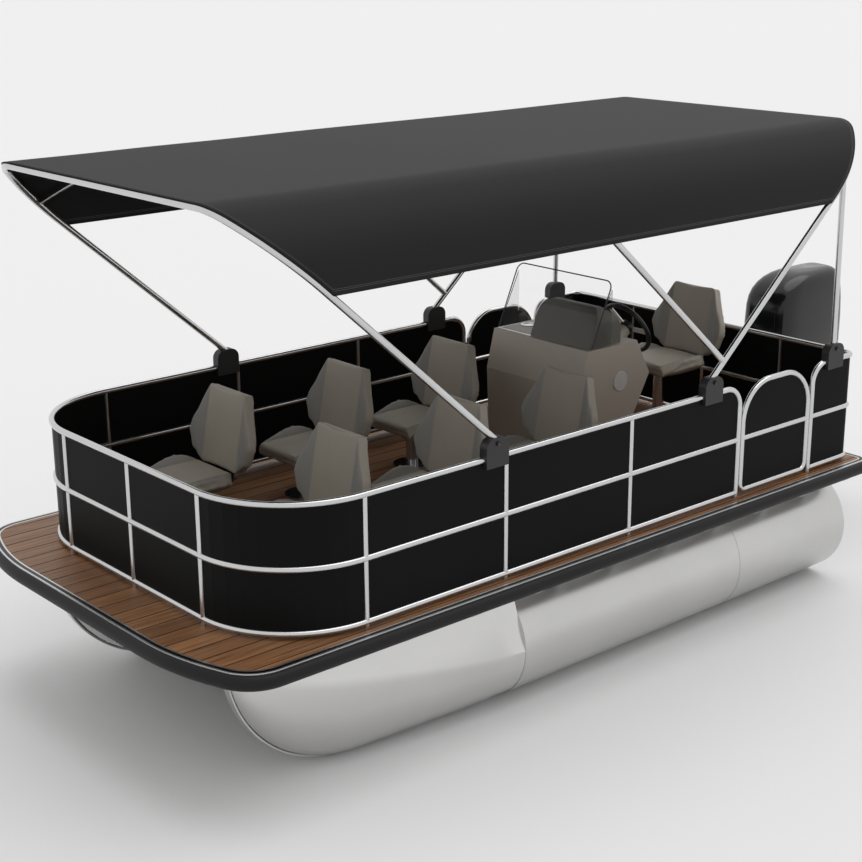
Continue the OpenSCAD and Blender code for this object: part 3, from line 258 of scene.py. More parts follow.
# Deck: oiled planks laid fore and aft with dark caulking between them, on a plywood board in pale
# grey, held by a metal edge with a black rubber bumper outside it. The board's pale grey is painted
# light: it brightens what the tubes' tops reflect from the shaded underside of the deck.
plank_w, caulk_half = 0.118, 0.00312
teak = bpy.data.materials.new("teak")
teak.use_nodes = True
nodes, links = teak.node_tree.nodes, teak.node_tree.links
shader = nodes["Principled BSDF"]
where = nodes.new("ShaderNodeTexCoord")
split = nodes.new("ShaderNodeSeparateXYZ")
links.new(where.outputs["Object"], split.inputs[0])
row = reckon(teak.node_tree, "FLOOR", reckon(teak.node_tree, "DIVIDE", split.outputs["Y"], plank_w))
row_tone = nodes.new("ShaderNodeTexWhiteNoise")
row_tone.noise_dimensions = "1D"
links.new(row, row_tone.inputs["W"])
shift = nodes.new("ShaderNodeVectorMath")
shift.operation = "SCALE"
shift.inputs["Scale"].default_value = 7
links.new(row_tone.outputs["Color"], shift.inputs[0])
own = nodes.new("ShaderNodeVectorMath")
links.new(where.outputs["Object"], own.inputs[0])
links.new(shift.outputs[0], own.inputs[1])
run = nodes.new("ShaderNodeMapping")
run.inputs["Scale"].default_value = (1.1, 22, 22)
links.new(own.outputs[0], run.inputs["Vector"])
figure = nodes.new("ShaderNodeTexNoise")
figure.inputs["Scale"].default_value = 2.2
figure.inputs["Detail"].default_value = 8
figure.inputs["Distortion"].default_value = 0.7
links.new(run.outputs[0], figure.inputs["Vector"])
pores = nodes.new("ShaderNodeTexNoise")
pores.inputs["Scale"].default_value = 9
pores.inputs["Detail"].default_value = 3
links.new(run.outputs[0], pores.inputs["Vector"])
wood = nodes.new("ShaderNodeValToRGB")
wood.color_ramp.elements[0].position = 0.3
wood.color_ramp.elements[0].color = (0.137, 0.056, 0.019, 1)
wood.color_ramp.elements[1].position = 0.72
wood.color_ramp.elements[1].color = (0.33, 0.16, 0.068, 1)
links.new(figure.outputs["Fac"], wood.inputs["Fac"])
plank_tone = nodes.new("ShaderNodeMapRange")
plank_tone.inputs["To Min"].default_value = 0.78
plank_tone.inputs["To Max"].default_value = 1.15
links.new(row_tone.outputs["Value"], plank_tone.inputs["Value"])
toned = nodes.new("ShaderNodeVectorMath")
toned.operation = "SCALE"
links.new(wood.outputs["Color"], toned.inputs[0])
links.new(plank_tone.outputs["Result"], toned.inputs["Scale"])
nearest = reckon(teak.node_tree, "PINGPONG", split.outputs["Y"], plank_w / 2)
is_caulk = reckon(teak.node_tree, "LESS_THAN", nearest, caulk_half)
deck_colour = nodes.new("ShaderNodeMix")
deck_colour.data_type = "RGBA"
deck_colour.inputs["B"].default_value = (0.012, 0.011, 0.01, 1)
links.new(is_caulk, deck_colour.inputs["Factor"])
links.new(toned.outputs[0], deck_colour.inputs["A"])
links.new(deck_colour.outputs["Result"], shader.inputs["Base Color"])
worn = nodes.new("ShaderNodeMapRange")
worn.inputs["To Min"].default_value = 0.36
worn.inputs["To Max"].default_value = 0.58
links.new(pores.outputs["Fac"], worn.inputs["Value"])
links.new(worn.outputs["Result"], shader.inputs["Roughness"])
pore_relief = nodes.new("ShaderNodeBump")
pore_relief.inputs["Distance"].default_value = 0.0004
links.new(pores.outputs["Fac"], pore_relief.inputs["Height"])
links.new(pore_relief.outputs["Normal"], shader.inputs["Normal"])
dress(teak, "deck_planks")

# Painted light: the board is painted pale so the tubes below reflect a brighter underside than its shade
# gives.
board_painted_bright = finish("board_painted_bright", (0.46, 0.45, 0.43), (0.56, 0.55, 0.53), (0.5, 0.7), cloud=0.2, grain=0.004,
                 stretch=(0.05, 1))
dress(board_painted_bright, "deck_board")
bumper_rubber = finish("bumper_rubber", (0.006, 0.006, 0.0065), (0.011, 0.011, 0.0115), (0.4, 0.55),
                       cloud=0.3, grain=0.0015, bump=0.00006, Specular_IOR_Level=0.22)
dress(bumper_rubber, "bumper")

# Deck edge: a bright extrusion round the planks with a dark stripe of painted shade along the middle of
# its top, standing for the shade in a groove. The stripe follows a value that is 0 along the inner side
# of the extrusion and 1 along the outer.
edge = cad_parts["deck_edge"].data
deck_middle = Vector((0.6, 0, 0))
outer_spots = set()
for face in edge.polygons:
    aside = face.center - deck_middle
    if abs(face.normal.z) < 0.5 and face.normal.x * aside.x + face.normal.y * aside.y > 0:
        outer_spots.update(tuple(round(c, 4) for c in edge.vertices[i].co.xy) for i in face.vertices)
share = edge.attributes.new("outward", "FLOAT", "POINT")
for v in edge.vertices:
    share.data[v.index].value = 1.0 if tuple(round(c, 4) for c in v.co.xy) in outer_spots else 0.0
edge_metal = finish("edge_metal", (0.62, 0.625, 0.63), (0.74, 0.745, 0.75), (0.3, 0.4), cloud=0.25,
                    grain=0.003, bump=0, Metallic=1.0)


def mark(material, mask, colour):
    """Lays a second colour over a finish where a mask is 1."""
    tree = material.node_tree
    over = tree.nodes.new("ShaderNodeMix")
    over.data_type = "RGBA"
    over.inputs["B"].default_value = (*colour, 1)
    tree.links.new(mask, over.inputs["Factor"])
    tree.links.new(tree.nodes["tone"].outputs["Result"], over.inputs["A"])
    tree.links.new(over.outputs["Result"], tree.nodes["Principled BSDF"].inputs["Base Color"])


outward = edge_metal.node_tree.nodes.new("ShaderNodeAttribute")
outward.attribute_name = "outward"
groove_middle, groove_half = 0.5, 0.26
# Painted shade: a dark stripe where the shade of a groove would fall.
groove_painted_shade = reckon(edge_metal.node_tree, "COMPARE", outward.outputs["Fac"], groove_middle, groove_half)
mark(edge_metal, groove_painted_shade, (0.03, 0.03, 0.03))
dress(edge_metal, "deck_edge")

# Fence: bright anodised tube bent and welded into rails and posts, with satin black sheet panels
# set between the rails. The gates are closed loops of the same tube and sheet.
rail_metal = finish("rail_metal", (0.57, 0.573, 0.577), (0.67, 0.673, 0.677), (0.16, 0.24), cloud=0.25,
                    grain=0.003, bump=0.00005, Metallic=1.0)
panel_black = finish("panel_black", (0.005, 0.005, 0.005), (0.008, 0.008, 0.008), (0.4, 0.52), cloud=0.5,
                     grain=0.002, bump=0.00004, Specular_IOR_Level=0.05)
dress(rail_metal, "fence_fore", "fence_stern", "gate_port_frame", "gate_starboard_frame", "hoop_front",
      "hoop_small", "hoop_mid", "hoop_rear", "canopy_braces")
dress(panel_black, "fence_fore_panels", "fence_stern_panels", "gate_port_panels", "gate_starboard_panels")

# Gate latches: a folded steel tongue on the inside of each gate's aft leg that reaches behind the
# stern fence's end leg, so the gate opens inwards only. Plate and raised thumb tab are one piece.
latch_size, latch_edge = (0.058, 0.004, 0.034), 0.0012
latch_at = (-1.262, 1.139, 1.325)
tab_in, tab_out = 0.011, 0.012
for side, body in ((1, "gate_port"), (-1, "gate_starboard")):
    bpy.ops.object.select_all(action="DESELECT")
    bpy.ops.mesh.primitive_cube_add(size=1)
    latch = bpy.context.object
    latch.dimensions = latch_size
    bpy.ops.object.transform_apply(location=False, rotation=False, scale=True)
    start(latch, lambda face: face.normal.y < -0.9)
    bpy.ops.mesh.inset(thickness=tab_in)
    bpy.ops.mesh.extrude_region_move(TRANSFORM_OT_translate={"value": (0, -tab_out, 0)})
    bpy.ops.mesh.select_all(action="SELECT")
    bpy.ops.mesh.bevel(offset=latch_edge, segments=2)
    keep(latch, body + "_latch", body, rail_metal,
         Matrix.Diagonal((1, side, 1, 1)) @ Matrix.Translation(latch_at))
    if side < 0:
        latch.data.flip_normals()

# Canopy mounts: moulded black blocks clamped round the top rail, each with a pivot bolt through it.
# A bolt's head is a flange, a raised round and a sunk socket for the key, all in one piece.
bow_x = 2.995
black_plastic = finish("black_plastic", (0.008, 0.008, 0.008), (0.016, 0.016, 0.016), (0.4, 0.58), cloud=0.1,
                       grain=0.0012, bump=0.00012)
dress(black_plastic, "canopy_mounts")
flange_r, flange_t, flange_w = 0.0125, 0.009, 0.0022
head_t, key_wall, key_depth = 0.0016, 0.004, 0.004
bpy.ops.object.select_all(action="DESELECT")
bpy.ops.mesh.primitive_cylinder_add(vertices=24, radius=flange_r, depth=flange_t)
bolt = bpy.context.object
start(bolt, lambda face: face.normal.z > 0.9)
bpy.ops.mesh.inset(thickness=flange_w)
bpy.ops.mesh.extrude_region_move(TRANSFORM_OT_translate={"value": (0, 0, head_t)})
bpy.ops.mesh.inset(thickness=key_wall, depth=-key_depth)
bpy.ops.object.mode_set(mode="OBJECT")
bolt_steel = finish("bolt_steel", (0.05, 0.05, 0.05), (0.1, 0.1, 0.1), (0.3, 0.45), cloud=0.02, grain=0.001,
                    bump=0.00002, Metallic=1.0)
mount_stations, bolt_y, bolt_z = (1.714, 3.3481, 4.4649), 1.1885, 1.549
for k, station in enumerate(mount_stations):
    for side, side_name in ((1, "port"), (-1, "starboard")):
        head = bolt.copy()
        head.data = bolt.data.copy()
        bpy.context.collection.objects.link(head)
        outwards = Matrix.Rotation(-side * math.pi / 2, 4, "X")
        keep(head, "mount_bolt_%d_%s" % (k + 1, side_name), "hull", bolt_steel,
             Matrix.Translation((bow_x - station, side * bolt_y, bolt_z)) @ outwards)
bpy.data.objects.remove(bolt)

# Canopy: one woven acrylic sheet stretched over the hoops, with a doubled hem all round and a double
# row of pale thread beside it. Its section follows the hoops' wide and tight bends.
deck_top = 0.810
rail_y = 1.160
crossbar_z, pivot_z, hem_z = deck_top + 2.015, deck_top + 0.755, deck_top + 1.617
leg_bend, bar_bend, leg_turn = 0.760, 0.180, math.radians(40)
bar_turn = math.pi / 2 - leg_turn
leg_tangent, bar_tangent = leg_bend * math.tan(leg_turn / 2), bar_bend * math.tan(bar_turn / 2)
shoulder_down = leg_tangent + (leg_tangent + bar_tangent) * math.sin(bar_turn)
shoulder_in = bar_tangent + (leg_tangent + bar_tangent) * math.sin(leg_turn)
fall = 0.6553
stand_off = 0.0215
hoop_rise = 1.260
front_foot, front_lean = bow_x - mount_stations[0], 1.437 / hoop_rise
rear_foot, rear_lean = bow_x - mount_stations[1], 1.4389 / hoop_rise
edge_back = 0.008
hang_steps, leg_steps, bar_steps, top_steps, long_steps = 6, 20, 12, 24, 120
sag_most, sag_span, cloth_t = 0.004, 2.7, 0.0016
crossbars = [bow_x - d for d in (0.277, 1.0819, 2.0863, 4.787)]
bend_z = crossbar_z - fall * shoulder_down
section = [(rail_y + stand_off, hem_z + (bend_z - hem_z) * k / hang_steps) for k in range(hang_steps)]
for k in range(leg_steps):
    turned = math.pi / 2 - leg_turn * k / leg_steps
    section.append((rail_y - leg_bend + (leg_bend + stand_off) * math.sin(turned),
                    bend_z + fall * leg_bend * math.cos(turned) + stand_off * math.cos(turned)))
for k in range(bar_steps):
    turned = bar_turn * (1 - k / bar_steps)
    section.append((rail_y - shoulder_in + (bar_bend + stand_off) * math.sin(turned),
                    crossbar_z - fall * bar_bend * (1 - math.cos(turned)) + stand_off * math.cos(turned)))
section += [((rail_y - shoulder_in) * (1 - k / top_steps), crossbar_z + stand_off)
            for k in range(top_steps + 1)]
section += [(-y, z) for y, z in reversed(section[:-1])]
walked = [0]
for p, q in zip(section, section[1:]):
    walked.append(walked[-1] + math.dist(p, q))
bpy.ops.object.select_all(action="DESELECT")
bpy.ops.mesh.primitive_grid_add(x_subdivisions=long_steps, y_subdivisions=len(section) - 1, size=2)
canopy = bpy.context.object
cut = canopy.data.uv_layers[0]
step_of = [round((v.co.y + 1) / 2 * (len(section) - 1)) for v in canopy.data.vertices]
along = {}
for v in canopy.data.vertices:
    y, z = section[step_of[v.index]]
    x_front = front_foot + front_lean * (z - pivot_z) - edge_back
    x_rear = rear_foot - rear_lean * (z - pivot_z) + edge_back
    x = x_rear + (x_front - x_rear) * (v.co.x + 1) / 2
    along[v.index] = (x - x_rear, x_front - x)
    sag = 0
    for high, low in zip(crossbars, crossbars[1:]):
        if low < x < high:
            sag = sag_most * (high - low) / sag_span * math.sin(math.pi * (x - low) / (high - low)) ** 2
    v.co = (x, y, z - sag * max(0, (z - bend_z) / (crossbar_z - bend_z)))
for loop in canopy.data.loops:
    spot = walked[step_of[loop.vertex_index]]
    cut.data[loop.index].uv = (min(along[loop.vertex_index]), min(spot, walked[-1] - spot))
start(canopy)
bpy.ops.mesh.normals_make_consistent(inside=False)
bpy.ops.object.mode_set(mode="OBJECT")
bpy.ops.object.shade_smooth()
cloth_wall = canopy.modifiers.new("wall", "SOLIDIFY")
cloth_wall.thickness = cloth_t
bpy.ops.object.modifier_apply(modifier="wall")
canopy_fabric = finish("canopy_fabric", (0.005, 0.005, 0.005), (0.0075, 0.0075, 0.0074), (0.55, 0.7),
                       cloud=0.6, grain=0.0012, bump=0.0002, Specular_IOR_Level=0.22)
nodes, links = canopy_fabric.node_tree.nodes, canopy_fabric.node_tree.links
hem_place = nodes.new("ShaderNodeUVMap")
hem_place.uv_map = cut.name
hem_split = nodes.new("ShaderNodeSeparateXYZ")
links.new(hem_place.outputs["UV"], hem_split.inputs[0])
thread_rows, thread_half = (0.022, 0.03), 0.0008
hem_near = reckon(canopy_fabric.node_tree, "MINIMUM", hem_split.outputs["X"], hem_split.outputs["Y"])
row_masks = [reckon(canopy_fabric.node_tree, "COMPARE", hem_near, away, thread_half) for away in thread_rows]
mark(canopy_fabric, reckon(canopy_fabric.node_tree, "MAXIMUM", *row_masks), (0.09, 0.09, 0.09))
keep(canopy, "canopy_sheet", "hull", canopy_fabric)
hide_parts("canopy")

# Seats: each has a back and a cushion of moulded foam under taupe vinyl, with a flat middle and
# flared wings sewn to it, on a black bracket that turns on a polished post. The wings' grey is a
# painted reflection of the pale grey sky over the same taupe vinyl.
seat_vinyl = finish("seat_vinyl", (0.34, 0.305, 0.25), (0.42, 0.38, 0.315), (0.42, 0.58), cloud=0.3,
                    grain=0.0022, bump=0.0003, Specular_IOR_Level=0.4)
wing_reflection_node = seat_vinyl.node_tree.nodes.new("ShaderNodeAttribute")
wing_reflection_node.attribute_name = "wing_painted_reflection"
# Painted reflection: the wings are painted greyer, standing in for the grey sky that glossy vinyl reflects.
mark(seat_vinyl, wing_reflection_node.outputs["Fac"], (0.28, 0.266, 0.245))
first_row, row_pitch, seat_ys = bow_x - 0.990, 0.81536, (-0.540, 0.445)
seats = {"seat_%d" % (2 * row + k + 1): Vector((first_row - row_pitch * row, y, 0))
         for row in range(3) for k, y in enumerate(seat_ys)}
seats["helm_seat"] = Vector((bow_x - 4.250, 0, 0.190))
seat_nodes = {name: name + "_pads" for name in seats}
seat_nodes["helm_seat"] = "helm_pads"
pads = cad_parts["seat_1_pads"].copy()
pads.data = pads.data.copy()
pads.parent = None
bpy.context.collection.objects.link(pads)
pads.matrix_world = Matrix.Translation(-seats["seat_1"])
pick(pads)
bpy.ops.object.transform_apply(location=True, rotation=True, scale=True)
bpy.ops.object.mode_set(mode="EDIT")
bpy.ops.mesh.select_all(action="SELECT")
bpy.ops.mesh.remove_doubles(threshold=join_gap)
bpy.ops.mesh.separate(type="LOOSE")
bpy.ops.object.mode_set(mode="OBJECT")


def mean_height(piece):
    """Tells the cushion from the back, which stands higher."""
    return sum(v.co.z for v in piece.data.vertices) / len(piece.data.vertices)


pad_shapes = sorted(bpy.context.selected_objects, key=mean_height)
voxel, soften_steps = 0.007, 26
pressure, cloth_steps, most = 4, 20, 0.008
fold_y, fold_w, fold_keep = 0.161, 0.035, 0.95
groove_w, groove_depth = 0.007, 0.004
faces_sitter, wing_edge, wing_blend = 0.3, 0.65, 0.15
recline = math.radians(11)


def toward_sitter(v, is_back):
    """How far a point of a pad faces the sitter, up to 1."""
    return v.normal.x * math.cos(recline) + v.normal.z * math.sin(recline) if is_back else v.normal.z


for shape in pad_shapes:
    pick(shape)
    mesher = shape.modifiers.new("mesher", "REMESH")
    mesher.mode = "VOXEL"
    mesher.voxel_size = voxel
    bpy.ops.object.modifier_apply(modifier="mesher")
    is_back = shape is pad_shapes[-1]
    rounded = shape.vertex_groups.new(name="rounded")
    sewn_down = shape.vertex_groups.new(name="sewn_down")
    for v in shape.data.vertices:
        near = math.exp(-((abs(v.co.y) - fold_y) / fold_w) ** 2)
        if toward_sitter(v, is_back) <= faces_sitter:
            near = 0
        rounded.add([v.index], 1 - fold_keep * near, "REPLACE")
        sewn_down.add([v.index], near, "REPLACE")
    soften = shape.modifiers.new("soften", "SMOOTH")
    soften.factor = 0.5
    soften.iterations = soften_steps
    soften.vertex_group = "rounded"
    bpy.ops.object.modifier_apply(modifier="soften")
    rest = [v.co.copy() for v in shape.data.vertices]
    cloth = shape.modifiers.new("cloth", "CLOTH")
    cloth.settings.vertex_group_mass = "sewn_down"
    cloth.settings.use_pressure = True
    cloth.settings.uniform_pressure_force = pressure
    cloth.settings.effector_weights.gravity = 0
    cloth.settings.quality = 4
    cloth.point_cache.frame_start, cloth.point_cache.frame_end = 1, cloth_steps
    for step in range(1, cloth_steps + 1):
        bpy.context.scene.frame_set(step)
    bpy.ops.object.modifier_apply(modifier="cloth")
    bpy.context.scene.frame_set(1)
    for v, r in zip(shape.data.vertices, rest):
        move = v.co - r
        if move.length > most:
            v.co = r + move * (most / move.length)
    # Mask of the painted grey reflection on the wings, past each fold where they face the sitter.
    wing_painted_reflection = shape.data.attributes.new("wing_painted_reflection", "FLOAT", "POINT")
    for v in shape.data.vertices:
        face_out = toward_sitter(v, is_back)
        if face_out > faces_sitter:
            near = math.exp(-((abs(v.co.y) - fold_y) / groove_w) ** 2)
            v.co -= v.normal * groove_depth * near
            past_fold = min(max((abs(v.co.y) - fold_y) / groove_w, 0), 1)
            wing_painted_reflection.data[v.index].value = past_fold * min(max((face_out - wing_edge) / wing_blend, 0), 1)
    bpy.ops.object.shade_smooth()
    shape.data.materials.clear()
    shape.data.materials.append(seat_vinyl)
for name, spot in seats.items():
    for kind, shape in zip(("cushion", "back"), pad_shapes):
        pad = shape.copy()
        pad.data = shape.data.copy()
        pad.name = name + "_" + kind
        pad.data.transform(Matrix.Translation(spot))
        bpy.context.collection.objects.link(pad)
        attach(pad, name)
        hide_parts(seat_nodes[name])
for shape in pad_shapes:
    bpy.data.objects.remove(shape)
pedestal_metal = finish("pedestal_metal", (0.5, 0.5, 0.5), (0.66, 0.66, 0.66), (0.1, 0.22), cloud=0.1,
                        grain=0.003, bump=0.00005, stretch=(1, 0.05), Metallic=1.0)
bracket_metal = finish("bracket_metal", (0.012, 0.012, 0.012), (0.02, 0.02, 0.02), (0.4, 0.55), cloud=0.1,
                       grain=0.002, bump=0.00006)
dress(pedestal_metal, "seat_pedestals")
dress(bracket_metal, "helm_bracket", *["seat_%d_bracket" % (i + 1) for i in range(6)])

# Helm: a moulded taupe console with a cup holder and a round speaker, and a darker dash pod with three
# gauges. Shells and speaker are moulded plastic; the cup's ring and the bezels are bright metal.
console_shell = finish("console_shell", (0.48, 0.42, 0.36), (0.55, 0.485, 0.42), (0.4, 0.55), cloud=0.4,
                       grain=0.0015, bump=0.00008)
dash_shell = finish("dash_shell", (0.13, 0.125, 0.105), (0.16, 0.15, 0.13), (0.42, 0.55), cloud=0.2,
                    grain=0.0015, bump=0.00008)
dress(console_shell, "console")
dress(dash_shell, "dash_pod")
console_front, console_high, console_mid = bow_x - 3.3409, deck_top + 0.730, -0.175
ring_r, ring_t, ring_w, cup_deep = 0.052, 0.004, 0.0115, 0.06
ring_at = (console_front - 0.223, console_mid - 0.322, console_high + 0.0023)
round_angle = math.radians(35)
bpy.ops.object.select_all(action="DESELECT")
bpy.ops.mesh.primitive_cylinder_add(vertices=48, radius=ring_r, depth=ring_t)
cup_ring = bpy.context.object
start(cup_ring, lambda face: face.normal.z > 0.9)
bpy.ops.mesh.inset(thickness=ring_w)
bpy.ops.mesh.extrude_region_move(TRANSFORM_OT_translate={"value": (0, 0, -cup_deep)})
bpy.ops.object.mode_set(mode="OBJECT")
bpy.ops.object.shade_smooth_by_angle(angle=round_angle)
keep(cup_ring, "cup_ring", "hull", rail_metal, Matrix.Translation(ring_at))

speaker_paint = finish("speaker_paint", (0.6, 0.58, 0.56), (0.66, 0.64, 0.62), (0.4, 0.5), cloud=0.05,
                       grain=0.002, bump=0.0002)
speaker_r, speaker_t = 0.06, 0.006
speaker_rings = ((0.004, 0.002), (0.006, -0.001), (0.02, 0.002))
speaker_at = (-0.634, console_mid + 0.4078, 1.308)
bpy.ops.object.select_all(action="DESELECT")
bpy.ops.mesh.primitive_cylinder_add(vertices=48, radius=speaker_r, depth=speaker_t)
speaker = bpy.context.object
start(speaker, lambda face: face.normal.z > 0.9)
for wide, up in speaker_rings:
    bpy.ops.mesh.inset(thickness=wide, depth=up)
bpy.ops.object.mode_set(mode="OBJECT")
bpy.ops.object.shade_smooth_by_angle(angle=round_angle)
keep(speaker, "console_speaker", "hull", speaker_paint,
     Matrix.Translation(speaker_at) @ Matrix.Rotation(-math.pi / 2, 4, "X"))

gauge_face = finish("gauge_face", (0.01, 0.01, 0.01), (0.015, 0.015, 0.015), (0.15, 0.25), cloud=0.02,
                    grain=0.001, bump=0)
bezel_metal = finish("bezel_metal", (0.6, 0.6, 0.6), (0.7, 0.7, 0.7), (0.15, 0.25), cloud=0.02, grain=0.001,
                     bump=0, Metallic=1.0)
pod_tilt = Matrix.Rotation(math.radians(-52.5), 4, "Y")
pod_back = Matrix.Translation((console_front - 0.2705, -0.05, console_high + 0.178)) @ pod_tilt
gauges = ((-0.13, 0.034), (0, 0.04), (0.13, 0.034))
bezel_w, bezel_t, dial_t, gauge_out = 0.006, 0.005, 0.0052, 0.0032
gauge_rings = ((0.003, 0.0015), (0.002, -0.001))
for k, (off, radius) in enumerate(gauges):
    for name, material, wide, tall in (("bezel", bezel_metal, radius, bezel_t),
                                       ("dial", gauge_face, radius - bezel_w, dial_t)):
        bpy.ops.object.select_all(action="DESELECT")
        bpy.ops.mesh.primitive_cylinder_add(vertices=40, radius=wide, depth=tall)
        dial = bpy.context.object
        start(dial, lambda face: face.normal.z > 0.9)
        for ring, up in gauge_rings:
            bpy.ops.mesh.inset(thickness=ring, depth=up)
        keep(dial, "gauge_%d_%s" % (k + 1, name), "hull", material,
             pod_back @ Matrix.Translation((0, off, gauge_out)))

# Throttle: a moulded box on the console's starboard side with a lever that is bent up from a plain
# bar and ends in a rounded grip. It is a small control and stays with the console.
throttle_box, lever_in, throttle_r = (0.13, 0.05, 0.1), 0.035, 0.006
lever_moves = ((0, -0.02, 0), (0.01, -0.008, 0.05), (0.02, 0, 0.07), (0, -0.012, 0.02))
throttle_at = (console_front - 0.36, console_mid - 0.4305, console_high - 0.12)
bpy.ops.object.select_all(action="DESELECT")
bpy.ops.mesh.primitive_cube_add(size=1)
throttle = bpy.context.object
throttle.dimensions = throttle_box
bpy.ops.object.transform_apply(location=False, rotation=False, scale=True)
start(throttle, lambda face: face.normal.y < -0.9)
bpy.ops.mesh.inset(thickness=lever_in)
for move in lever_moves:
    bpy.ops.mesh.extrude_region_move(TRANSFORM_OT_translate={"value": move})
bpy.ops.object.mode_set(mode="OBJECT")
round_off = throttle.modifiers.new("round_off", "BEVEL")
round_off.width = throttle_r
round_off.segments = 3
bpy.ops.object.modifier_apply(modifier="round_off")
bpy.ops.object.shade_smooth_by_angle(angle=math.radians(40))
keep(throttle, "throttle", "hull", black_plastic, Matrix.Translation(throttle_at))

# Steering wheel: a black moulded rim and hub on bright pressed spokes. The bright part is told by
# the distance from the wheel's axis.
wheel_finish = finish("wheel_finish", (0.008, 0.008, 0.008), (0.016, 0.016, 0.016), (0.35, 0.5), cloud=0.1,
                      grain=0.0012, bump=0.0001)
nodes, links = wheel_finish.node_tree.nodes, wheel_finish.node_tree.links
wheel_tilt = math.radians(28)
wheel_axis = Vector((-math.cos(wheel_tilt), 0, math.sin(wheel_tilt)))
wheel_hub = (console_front - 0.554, 0.030, console_high + 0.021)
from_hub = nodes.new("ShaderNodeVectorMath")
from_hub.operation = "SUBTRACT"
from_hub.inputs[1].default_value = wheel_hub
wheel_place = nodes.new("ShaderNodeTexCoord")
links.new(wheel_place.outputs["Object"], from_hub.inputs[0])
off_axis = nodes.new("ShaderNodeVectorMath")
off_axis.operation = "CROSS_PRODUCT"
off_axis.inputs[1].default_value = wheel_axis
links.new(from_hub.outputs[0], off_axis.inputs[0])
radius_at = nodes.new("ShaderNodeVectorMath")
radius_at.operation = "LENGTH"
links.new(off_axis.outputs[0], radius_at.inputs[0])
spoke_middle, spoke_half = 0.1015, 0.0545
bright = reckon(wheel_finish.node_tree, "COMPARE", radius_at.outputs["Value"], spoke_middle, spoke_half)
mark(wheel_finish, bright, (0.7, 0.7, 0.7))
links.new(bright, nodes["Principled BSDF"].inputs["Metallic"])
dress(wheel_finish, "steering_wheel")

# Windscreen: clear acrylic with faintly grey side panes. A thin black bead is pressed over the raw
# edge of the main pane, up one side, across the top and down the other.
acrylic = bpy.data.materials.new("clear_acrylic")
acrylic.use_nodes = True
nodes, links = acrylic.node_tree.nodes, acrylic.node_tree.links
clear = nodes["Principled BSDF"]
clear.inputs["Transmission Weight"].default_value = 1
clear.inputs["IOR"].default_value = 1.12
glass_place = nodes.new("ShaderNodeTexCoord")
glass_split = nodes.new("ShaderNodeSeparateXYZ")
links.new(glass_place.outputs["Object"], glass_split.inputs[0])
side_pane_in = 0.3938
from_middle = reckon(acrylic.node_tree, "ADD", glass_split.outputs["Y"], -console_mid)
to_side = reckon(acrylic.node_tree, "ABSOLUTE", from_middle)
at_side = reckon(acrylic.node_tree, "GREATER_THAN", to_side, side_pane_in)
glass_tone = nodes.new("ShaderNodeMix")
glass_tone.data_type = "RGBA"
glass_tone.inputs["A"].default_value = (0.97, 0.97, 0.975, 1)
glass_tone.inputs["B"].default_value = (0.84, 0.84, 0.85, 1)
links.new(at_side, glass_tone.inputs["Factor"])
links.new(glass_tone.outputs["Result"], clear.inputs["Base Color"])
haze = nodes.new("ShaderNodeTexNoise")
haze.inputs["Scale"].default_value = 30
links.new(glass_place.outputs["Object"], haze.inputs["Vector"])
haze_range = nodes.new("ShaderNodeMapRange")
haze_range.inputs["To Min"].default_value = 0.0
haze_range.inputs["To Max"].default_value = 0.03
links.new(haze.outputs["Fac"], haze_range.inputs["Value"])
links.new(haze_range.outputs["Result"], clear.inputs["Roughness"])
dress(acrylic, "windscreen")
pane_back, pane_up, pane_half, pane_r = 0.173, 0.392, 0.400, 0.05
pane_lean, pane_l = math.atan2(pane_back, pane_up), math.hypot(pane_back, pane_up)
pane_foot, pane_mid, pane_gap = console_front - 0.031, 0.003, 0.0003
bead_r, bead_foot, corner_steps = 0.004, 0.004, 8
outline = [(pane_half, bead_foot)]
outline += [(pane_half - pane_r + pane_r * math.cos(a), pane_l - pane_r + pane_r * math.sin(a))
            for a in (math.pi / 2 * k / corner_steps for k in range(corner_steps + 1))]
outline += [(-u, v) for u, v in reversed(outline)]
bead_path = bpy.data.curves.new("windscreen_bead", "CURVE")
bead_path.dimensions = "3D"
bead_path.bevel_depth = bead_r
bead_path.bevel_resolution = 2
bead_line = bead_path.splines.new("POLY")
bead_line.points.add(len(outline) - 1)
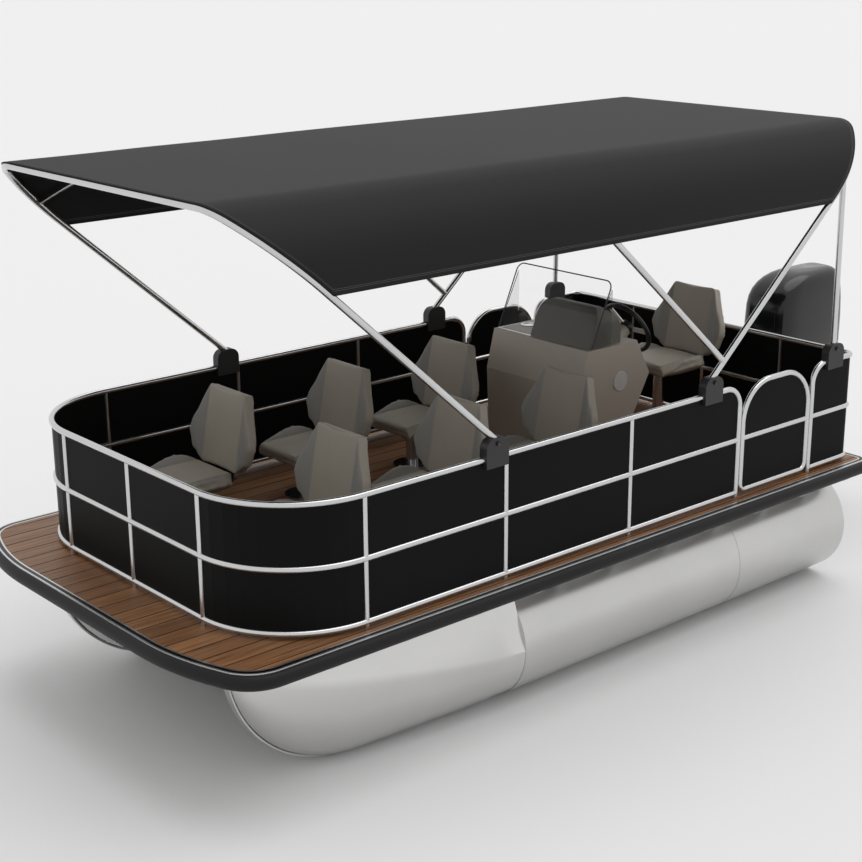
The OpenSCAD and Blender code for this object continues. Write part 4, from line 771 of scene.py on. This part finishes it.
for point, (u, v) in zip(bead_line.points, outline):
    point.co = (pane_foot - pane_mid * math.cos(pane_lean) - v * math.sin(pane_lean), console_mid + u,
                console_high + pane_gap + v * math.cos(pane_lean), 1)
bead = bpy.data.objects.new("windscreen_bead", bead_path)
bpy.context.collection.objects.link(bead)
pick(bead)
bpy.ops.object.convert(target="MESH")
bpy.ops.object.shade_smooth()
keep(bpy.context.object, "windscreen_bead", "hull", black_plastic)

# Motor: gloss black castings and a lacquered cowl on a dark grey clamp and swivel bracket. The cowl's
# facets are joined into one skin, with a seam pressed in above its lower band.
motor_black = finish("motor_black", (0.005, 0.005, 0.0055), (0.009, 0.009, 0.01), (0.18, 0.28), cloud=0.4,
                     grain=0.002, bump=0.00003, Specular_IOR_Level=0.35)
motor_metal = finish("motor_metal", (0.035, 0.035, 0.038), (0.06, 0.06, 0.064), (0.35, 0.5), cloud=0.2,
                     grain=0.002, bump=0.0001)
cowl_black = finish("cowl_black", (0.006, 0.006, 0.0065), (0.01, 0.01, 0.011), (0.16, 0.24), cloud=0.4,
                    grain=0.002, bump=0, Specular_IOR_Level=0.32, Coat_Weight=0.2, Coat_Roughness=0.08)
nodes, links = cowl_black.node_tree.nodes, cowl_black.node_tree.links
cowl_place = nodes.new("ShaderNodeTexCoord")
cowl_split = nodes.new("ShaderNodeSeparateXYZ")
links.new(cowl_place.outputs["Object"], cowl_split.inputs[0])
seam_z, seam_half, cowl_angle = 1.215, 0.003, 30
seam = reckon(cowl_black.node_tree, "COMPARE", cowl_split.outputs["Z"], seam_z, seam_half)
seam_relief = nodes.new("ShaderNodeBump")
seam_relief.invert = True
seam_relief.inputs["Distance"].default_value = 0.003
links.new(seam, seam_relief.inputs["Height"])
links.new(seam_relief.outputs["Normal"], nodes["Principled BSDF"].inputs["Normal"])
dress(motor_black, "motor_leg", "motor_gearcase")
dress(motor_metal, "motor_clamp", "motor_swivel", "propeller")
keep(skin_of("motor_cowl", cowl_angle), "cowl_skin", "motor_steering", cowl_black)

size = {"cad": [list(c) for c in cad_box], "visual": [list(c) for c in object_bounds()]}
